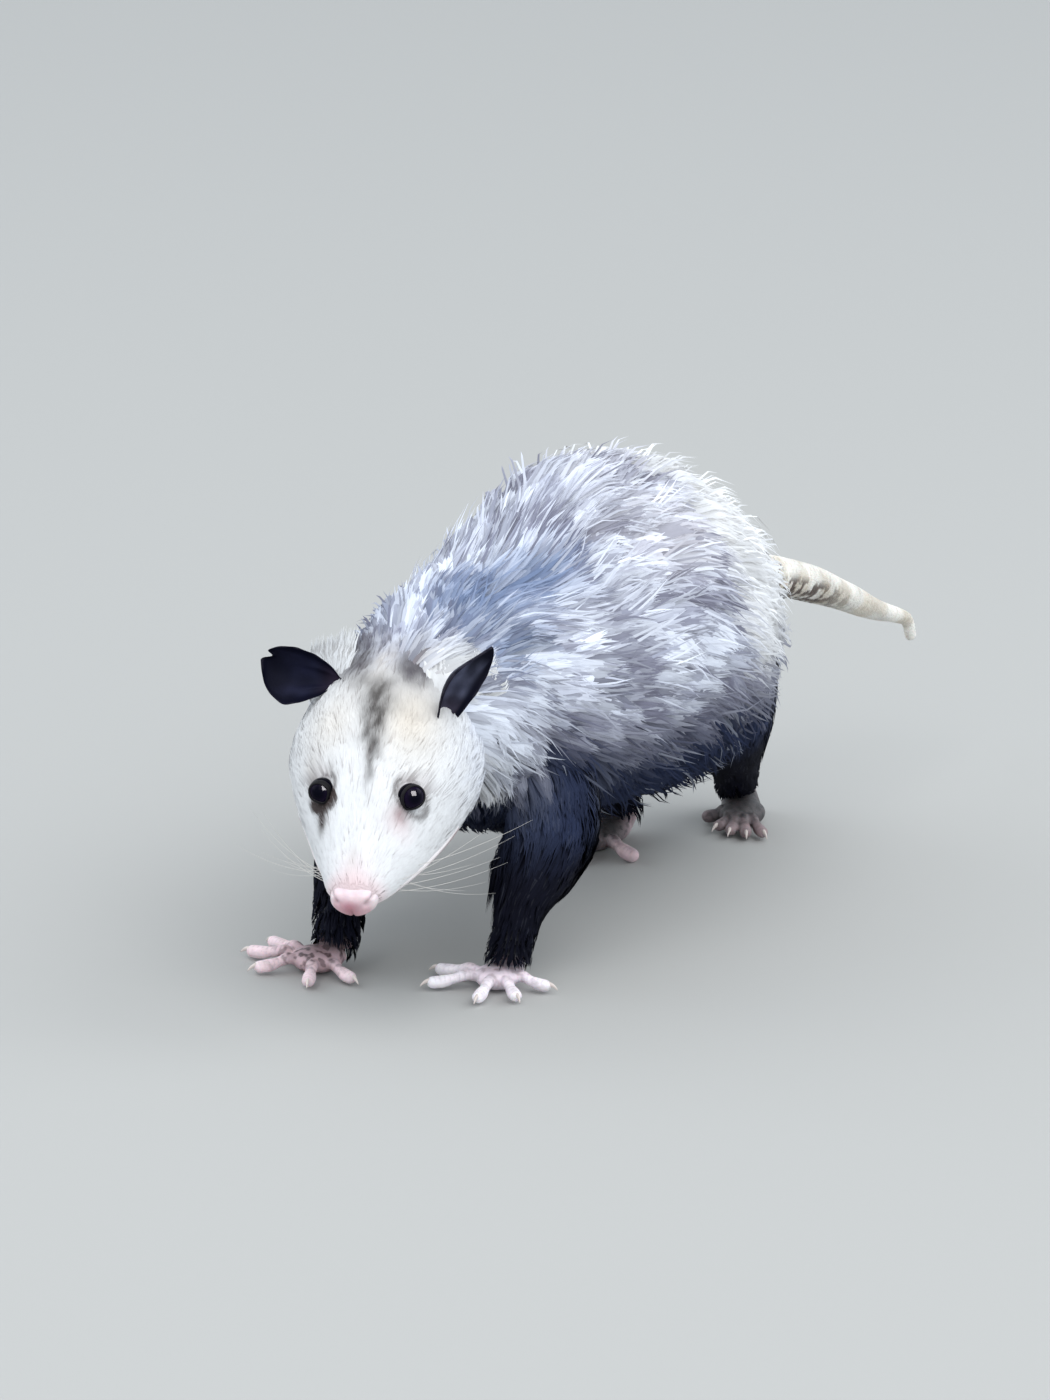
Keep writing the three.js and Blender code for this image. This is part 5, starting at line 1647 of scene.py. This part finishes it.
@dataclass
class Ear:
    """A thin naked cup of skin with a worn pale rim."""

    shop: Workshop
    name: str
    plan: EarPlan
    thick: float = 0.9
    cup: float = 0.35  # depth of the hollow as a share of the width

    def leaf(self, a: Array, b: Array, face: Array) -> Array:
        """Points of the leaf: a from root to tip, b across from -1 to 1, face in or out.

        The outline gives the middle and half width at each distance. The cup is a parabola
        across it, low folds run in from the rim, and a bell cuts the notch into the end.
        """
        plan = self.plan
        out = unit(SKULL.way(*plan.points))
        across = unit(np.cross(SKULL.way(*plan.hollow), out))
        front = np.cross(out, across)
        start, end = plan.outline.keys[[0, -1]]
        along = start + (end - start) * a
        low, high = plan.outline.at("low", along), plan.outline.at("high", along)
        middle, half = (low + high) / 2, (high - low) / 2
        half = half * (1 + 0.01 * np.sin(a * 31) * np.abs(b) ** 3)
        deep = 2 * self.cup * half
        folds = 0.06 * half * np.sin(9 * a + 3 * b) * b**2
        folds += 0.9 * bell(np.abs(b), 0.45, 0.12) * smooth(a, 0.2, 0.4) * smooth(0.8 - a, 0, 0.4)
        edge = np.minimum(np.minimum(1 - np.abs(b), (1 - a) * 2.2), 1)
        half_thick = self.thick / 2 * (0.75 + 0.8 * bell(edge, 0.04, 0.07))
        beside = middle + b * half
        past = np.maximum(along - (end - 6.5), 0)
        along = along - plan.notch / 6.5 * past * bell(beside, -7.2, 1.3)
        lift = deep * (b * b * (1 - 0.35 * a) - 0.5) + folds + face * half_thick
        root = SKULL.place(*plan.root)
        return root + along[..., None] * out + beside[..., None] * across + lift[..., None] * front

    def build(self) -> None:
        """Lofts the ear as flat rings that run up one face and down the other."""
        rows, columns = 72, 56
        a = np.sin(np.linspace(0, math.pi / 2, rows))[:, None]
        across = np.linspace(-1, 1, columns)
        b = np.concatenate([across, across[::-1]])
        face = np.concatenate([np.ones(columns), -np.ones(columns)])
        a_grid, b_grid = np.broadcast_arrays(a, b)
        grid = self.leaf(a_grid, b_grid, np.broadcast_to(face, a_grid.shape))
        shape = lofted(grid)
        rim = np.append(np.maximum(np.abs(b_grid), a_grid).ravel(), [0.0, 1.0])
        base = np.append(smooth(0.45 - a_grid, 0, 0.35).ravel(), [1.0, 0.0])
        worn = smooth(rim + 0.03 * ripple(shape.points, 6, 17), 0.965, 1.0)
        inside = smooth(0.88 - rim, 0, 0.25) * (0.75 + 0.35 * ripple(shape.points, 9, 18))
        colour = layered(
            (0.0025, 0.0028, 0.010),
            # The plan's middle colour inside the rim: on the left ear a lighter painted sheen.
            (self.plan.middle, np.clip(0.9 * inside, 0, 1)),
            ((0.035, 0.018, 0.026), 0.5 * base * (rim < 0.8)),
            ((0.03, 0.027, 0.04), 0.6 * worn),
        )
        self.shop.make(f"{self.name}_cup", shape, colour, Look.EAR, "ear_skin", [self.name])


@dataclass(frozen=True)
class FootPlan:
    """Where one foot stands: heel, palm and toe tips, inner toe first, in mm."""

    heel: Point
    palm: Point
    toes: tuple[tuple[float, float], ...]
    radius: float
    palm_size: Point
    heel_size: tuple[float, float]
    thumb: bool = False
    back: Colour = (0.84, 0.73, 0.80)  # skin over the palm, toe tips, dusky parts and their share
    tip: Colour = (0.95, 0.89, 0.94)
    dusk: Colour = (0.16, 0.11, 0.13)
    freckled: float = 0.3


FEET = {
    "forefoot_left": FootPlan(
        (47, -6, 7), (47, -17, 6), ((17, -22), (25, -42), (54, -46), (67, -32), (70, -9)),
        3.2, (10.5, 12.5, 6), (9.5, 8),
    ),
    "forefoot_right": FootPlan(
        (-27, -44, 7), (-33, -54, 6), ((-7, -62), (-20, -80), (-50, -78), (-66, -60), (-66, -41)),
        3.3, (11.5, 12, 6.2), (9.5, 8), False,
        (0.54, 0.38, 0.41), (0.88, 0.70, 0.74), (0.075, 0.045, 0.05), 0.7,
    ),
    "hindfoot_left": FootPlan(
        (-9, 303, 8), (5, 282, 6), ((-9, 270), (4, 260), (12.5, 258), (20.5, 260), (27, 266)),
        3.1, (11, 14, 7), (8.5, 9), True,
        (0.07, 0.062, 0.066), (0.30, 0.225, 0.235), (0.025, 0.022, 0.024), 0.75,
    ),
    "hindfoot_right": FootPlan(
        (-33, 230, 8), (-33, 200, 6), ((-3, 190), (-24, 172), (-35, 168), (-46, 172), (-56, 182)),
        3.4, (13, 17, 7), (8.5, 9), True,
        (0.07, 0.062, 0.066), (0.66, 0.50, 0.53), (0.025, 0.022, 0.024), 0.75,
    ),
}


@dataclass
class Foot:
    """A bare pink foot: palm, heel and five toes melted into one skin, with horn claws."""

    shop: Workshop
    name: str
    plan: FootPlan
    toe_height: float = 4.0
    claw_length: float = 4.6
    thumb_swell: float = 1.15
    horn: Colour = (0.66, 0.58, 0.54)

    def toe_end(self, tip: tuple[float, float], above: float) -> tuple[Array, Array]:
        """A point some way above the middle of a toe's tip, and the level way to it from the palm."""
        end = np.array([*tip, self.toe_height + above])
        return end, unit((end - np.array(self.plan.palm, float)) * (1 - UPWARDS))

    def toe(self, tip: tuple[float, float], radius: float) -> Shape:
        """A toe with two knuckles and a soft tip: its radius swells and narrows along it."""
        end, flat = self.toe_end(tip, 0.0)
        root = np.array(self.plan.palm, float) + flat * 5.5
        root[2] = 5.0
        span = end - root
        reach = float(np.linalg.norm(span))
        swell = (0.98, 0.86, 0.94, 0.8, 1.0, 0.98)
        rise = (0.0, 1.6, 2.6, 1.2, 0.2, 0.0)
        rows = []
        for k, (size, lift) in enumerate(zip(swell, rise)):
            share = k / (len(swell) - 1) * (1 - 0.4 * radius / reach)
            middle = root + span * share
            rows.append((k, middle[0], middle[1], middle[2] + lift, radius * size, radius * size * 0.95))
        limb = Limb(rows, UPWARDS)
        grid = limb.skin_grid(36, 20)
        return self.domed(grid, limb.chord, radius)

    @staticmethod
    def domed(grid: Array, way: Array, radius: float) -> Shape:
        """Closes a tube's end as a half ball: rings that shrink by cosine and step on by sine."""
        centre = grid[-1].mean(axis=0)
        angle = np.linspace(0, math.pi / 2, 8)[1:-1, None, None]
        cap = centre + (grid[-1] - centre) * np.cos(angle) + way * radius * np.sin(angle)
        return lofted(np.concatenate([grid, cap]), None, centre + way * radius)

    def claw(self, tip: tuple[float, float], radius: float) -> Shape:
        """A short curved cone from the toe's tip, bent down by the square of its length."""
        end, flat = self.toe_end(tip, 0.9)
        f = np.linspace(0, 1, 12)[:, None]
        spine = end + flat * (radius * 0.2 + self.claw_length * f) + UPWARDS * (0.6 * f - 3.1 * f**2)
        size = 1.25 * (1 - f[:, 0]) ** 0.7 + 0.12
        ring = rings_round(spine, UPWARDS, 12, 0.75)
        return lofted(spine[:, None] + size[:, None, None] * ring)

    def build(self) -> None:
        """Melts the foot together, flattens its sole on the floor and colours it."""
        plan = self.plan
        wide, _, high = plan.palm_size
        heel, palm = np.array(plan.heel, float), np.array(plan.palm, float)
        half = (heel + palm) / 2
        rows = [
            (0, *(heel + 4 * UPWARDS), plan.heel_size[0] * 0.85, plan.heel_size[1] * 0.85),
            (1, *half, wide * 0.9, high * 1.05),
            (2, *palm, wide * 0.95, high * 0.9),
        ]
        sole = Limb(rows, UPWARDS)
        shapes = [ball(palm, np.array(plan.palm_size), np.eye(3), 18, 28), lofted(sole.skin_grid(24, 28))]
        ankle = LEG_HIDES[self.name.replace("foot", "leg")]
        shapes.append(lofted(ankle.skin_grid(10, 28, 0.8)))
        claws = []
        for number, tip in enumerate(plan.toes):
            thumb = plan.thumb and number == 0
            radius = plan.radius * (self.thumb_swell if thumb else 1.0)
            shapes.append(self.toe(tip, radius))
            if not thumb:
                claws.append(self.claw(tip, radius))
        piece = self.shop.fused(f"{self.name}_skin", shapes, 0.6, 4)
        points = self.shop.points(piece)
        points[:, 2] = np.maximum(points[:, 2], 0.15)
        piece.data.vertices.foreach_set("co", ((points + self.shop.shift) * MM).astype(np.float32).ravel())
        piece.data.update()
        self.shop.paint(piece, self.colours(points))
        self.shop.present(piece, Look.PINK, "pink_skin", [self.name])
        self.shop.make(f"claws_{self.name}", Shape.joined(claws), self.horn, Look.CLAW, "claw")

    def colours(self, p: Array) -> Array:
        """Pink toes, duskier over the back of the foot and up to the fur, with painted shade in the
        creases.
        """
        plan = self.plan
        away = np.linalg.norm((p - np.array(plan.palm))[:, :2], axis=1)
        dusk = smooth(p[:, 2], 7, 14) * smooth(-away, -24, -12)
        freckle = smooth(ripple(p, 5, 21) + 0.5 * ripple(p, 2.6, 22), 0.1, 0.8) * smooth(-away, -32, -8)
        # Painted shade in rings of creases across the toes.
        crease_shade = smooth(np.sin(away * TURN / 2.4), 0.75, 1.0)
        crease_shade = crease_shade * smooth(p[:, 2], 4, 7) * smooth(away, 12, 16)
        return layered(
            plan.back,
            (plan.tip, smooth(away, 9, 27)),
            (plan.dusk, np.clip(0.8 * dusk + plan.freckled * freckle, 0, 1)),
            (plan.dusk, 0.22 * crease_shade),
            (MARKINGS.black, smooth(p[:, 2], 12, 19)),
        )


@dataclass
class Tail:
    """A short blunt tail of bare scaly skin."""

    shop: Workshop
    rings: int = 420
    sides: int = 56
    tip_radius: float = 2.6

    def tube(self) -> Array:
        """Rings along the tail, ribbed by a fine sine of the distance along it."""
        k = np.linspace(0, 9, self.rings)
        spine = np.stack([TAIL.at(axis, k) for axis in "xyz"], axis=-1)
        steps = np.append(0, np.cumsum(np.linalg.norm(np.diff(spine, axis=0), axis=1)))
        angle = angles(self.sides)
        ribs = 1 + 0.022 * np.sin(steps * TURN / 2.1)[:, None] * (1 + 0.3 * np.sin(angle * 11))
        lumps = 1 + 0.03 * np.sin(steps / 9)[:, None] * np.cos(angle * 2 + 1)
        radius = TAIL.at("r", k)[:, None] * ribs * lumps
        return spine[:, None] + rings_round(spine, UPWARDS, self.sides) * radius[..., None]

    def build(self) -> None:
        """Makes the tail, cream with brown blotches underneath near its root."""
        grid = self.tube()
        way = unit(grid[-1].mean(axis=0) - grid[-2].mean(axis=0))
        shape = Foot.domed(grid, way, self.tip_radius)
        p = shape.points
        base = smooth(-p[:, 1], -392, -335)
        patches = smooth(ripple(p, 9, 26) + 0.7 * ripple(p, 4.5, 27), -0.35, 0.15)
        centre = np.interp(p[:, 1], TAIL.rows[:, 2], TAIL.rows[:, 3])
        below = smooth(centre - p[:, 2], -5.0, 1.5)
        colour = layered(
            (0.66, 0.61, 0.53),
            ((0.80, 0.775, 0.72), smooth(ripple(p, 22, 25), -0.6, 0.5)),
            ((0.085, 0.06, 0.05), np.clip(0.95 * base * patches * below, 0, 1)),
            ((0.42, 0.35, 0.26), 0.35 * smooth(ripple(p, 5, 28), 0.3, 0.9)),
        )
        nodes = ["tail_base", "tail_middle", "tail_tip"]
        self.shop.make("tail_skin", shape, colour, Look.TAIL, "tail_skin", nodes)


@dataclass
class Whiskers:
    """Long pale single hairs from both sides of the muzzle."""

    shop: Workshop
    muzzle: int = 9  # on each side
    seed: int = 61
    pale: Colour = (0.60, 0.58, 0.55)

    def hairs(self) -> Shape:
        """Thin tapered tubes along arcs.

        Each arc leaves the skin outwards and sweeps back, and falls by the square of its length.
        """
        rng = np.random.default_rng(self.seed)
        count = self.muzzle
        shapes = []
        f = np.linspace(0, 1, 14)
        for side in (-1.0, 1.0):
            t = rng.uniform(12, 30, count)
            rise = rng.uniform(-0.75, 0.05, count)
            turn = rise if side > 0 else math.pi - rise
            root = SKULL.point(t, turn, np.full(count, -0.2))
            away = SKULL.out(t, turn, np.full(count, 0.5))
            length = rng.uniform(26, 58, count)
            sweep = rng.uniform(0.1, 0.7, count)[:, None]
            start = unit(away - SKULL.ahead * sweep + SKULL.up * rng.uniform(-0.25, 0.25, (count, 1)))
            bend = rng.uniform(0.25, 0.5, (count, 1)) * (-SKULL.ahead - 0.5 * SKULL.up)
            reach = length[:, None, None]
            spine = root[:, None] + reach * (start[:, None] * f[:, None] + bend[:, None] * f[:, None] ** 2)
            size = (0.15 * (1 - f) ** 0.8 + 0.04)[None, :, None, None]
            shapes += [lofted(grid) for grid in spine[:, :, None] + rings_round(spine, SKULL.up, 4) * size]
        return Shape.joined(shapes)

    def build(self) -> None:
        """Makes the whiskers as one piece."""
        self.shop.make("whiskers", self.hairs(), self.pale, Look.WHISKER, "face_fur")


# Studio


@dataclass(frozen=True)
class View:
    """The camera: a long lens from the front left, a little above, tipped by a few degrees."""

    azimuth: float = math.radians(31)
    elevation: float = math.radians(17.1)
    roll: float = math.radians(3.4)
    distance: float = 4985.0
    focal_pixels: float = 9500.0
    frame_height: float = 1400.0
    sensor: float = 36.0
    target: Point = (-190.2, 387.8, 0.0)

    def build(self, shop: Workshop) -> None:
        """Places the camera on the line through the target, at its distance."""
        data = bpy.data.cameras.new("camera")
        data.sensor_fit = "VERTICAL"
        data.sensor_height = self.sensor
        data.lens = self.sensor * self.focal_pixels / self.frame_height
        data.clip_end = 50
        look = Vector(aimed(self.azimuth + math.pi, self.elevation))
        target = Vector(((np.array(self.target) + shop.shift) * MM).tolist())
        camera = placed("camera", data)
        turned = look.to_track_quat("-Z", "Y").to_matrix().to_4x4() @ Matrix.Rotation(self.roll, 4, "Z")
        camera.matrix_world = Matrix.Translation(target - look * self.distance * MM) @ turned
        bpy.context.scene.camera = camera


@dataclass
class Studio:
    """A pale floor under soft light from all round, brightest above."""

    floor_size: float = 30.0
    floor_colour: Colour = (0.40, 0.40, 0.39)

    def light(
        self, name: str, place: Sequence[float], size: float, power: float, colour: Colour
    ) -> Piece:
        """A square soft light that faces the middle of the model."""
        data = bpy.data.lights.new(name, "AREA")
        data.size = size
        data.energy = power
        data.color = colour
        lamp = placed(name, data)
        spot = Vector(place)
        turned = (Vector((0, 0, 0.1)) - spot).to_track_quat("-Z", "Y").to_matrix().to_4x4()
        lamp.matrix_world = Matrix.Translation(spot) @ turned
        return lamp

    def build(self) -> None:
        """Makes floor, world and lights."""
        half = self.floor_size / 2
        corners = [(-half, -half, 0), (half, -half, 0), (half, half, 0), (-half, half, 0)]
        data = bpy.data.meshes.new("floor")
        data.from_pydata(corners, [], [(0, 1, 2, 3)])
        floor = placed("floor", data)
        pale = bpy.data.materials.new("pale floor")
        pale.use_nodes = True
        shader = pale.node_tree.nodes["Principled BSDF"]
        shader.inputs["Base Color"].default_value = (*self.floor_colour, 1)
        shader.inputs["Roughness"].default_value = 0.9
        data.materials.append(pale)
        world = bpy.data.worlds.new("studio")
        world.use_nodes = True
        sky = world.node_tree.nodes["Background"]
        sky.inputs["Color"].default_value = (0.86, 0.93, 1.0, 1)
        sky.inputs["Strength"].default_value = 1.0
        bpy.context.scene.world = world
        self.light("key light", (1.1, -1.7, 3.5), 4.6, 108, (1.0, 0.985, 0.96))
        self.light("fill light", (-2.6, -1.4, 1.8), 2.5, 22, (0.9, 0.95, 1.0))
        self.light("back light", (2.0, 2.2, 2.4), 2.4, 44, (0.95, 0.98, 1.0))
        bpy.context.scene.view_settings.view_transform = "Standard"

    def catch(self, pieces: Sequence[Piece]) -> None:
        """Adds a light that only the given glossy pieces mirror."""
        lamp = self.light("catch light", (1.53, -1.05, 2.0), 2.0, 1500, (1.0, 0.97, 1.0))
        lamp.visible_diffuse = False
        lit = bpy.data.collections.new("caught")
        for piece in pieces:
            lit.objects.link(piece)
        lamp.light_linking.receiver_collection = lit


def body_shift() -> Array:
    """The step from the body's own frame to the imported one, in mm, read off the left eye."""
    return box_middle("eye_left") - SKULL.place(*EYE_AT)


def main() -> None:
    """Loads the frame, builds every piece and logs the whole model's triangle count."""
    logging.basicConfig(level=logging.INFO, format="%(message)s")
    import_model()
    shop = Workshop(body_shift())
    View().build(shop)
    studio = Studio()
    studio.build()
    for part in (Skin, BodyCoat, HeadCoat, LegCoats):
        part(shop).build()
    studio.catch(Eyes(shop).build())
    for part in (Nose, Mouth):
        part(shop).build()
    for name, plan in EARS.items():
        Ear(shop, name, plan).build()
    for name, plan in FEET.items():
        Foot(shop, name, plan).build()
    for part in (Tail, Whiskers):
        part(shop).build()
    log.info("whole model: %d triangles", shop.total)


if __name__ == "__main__":
    main()
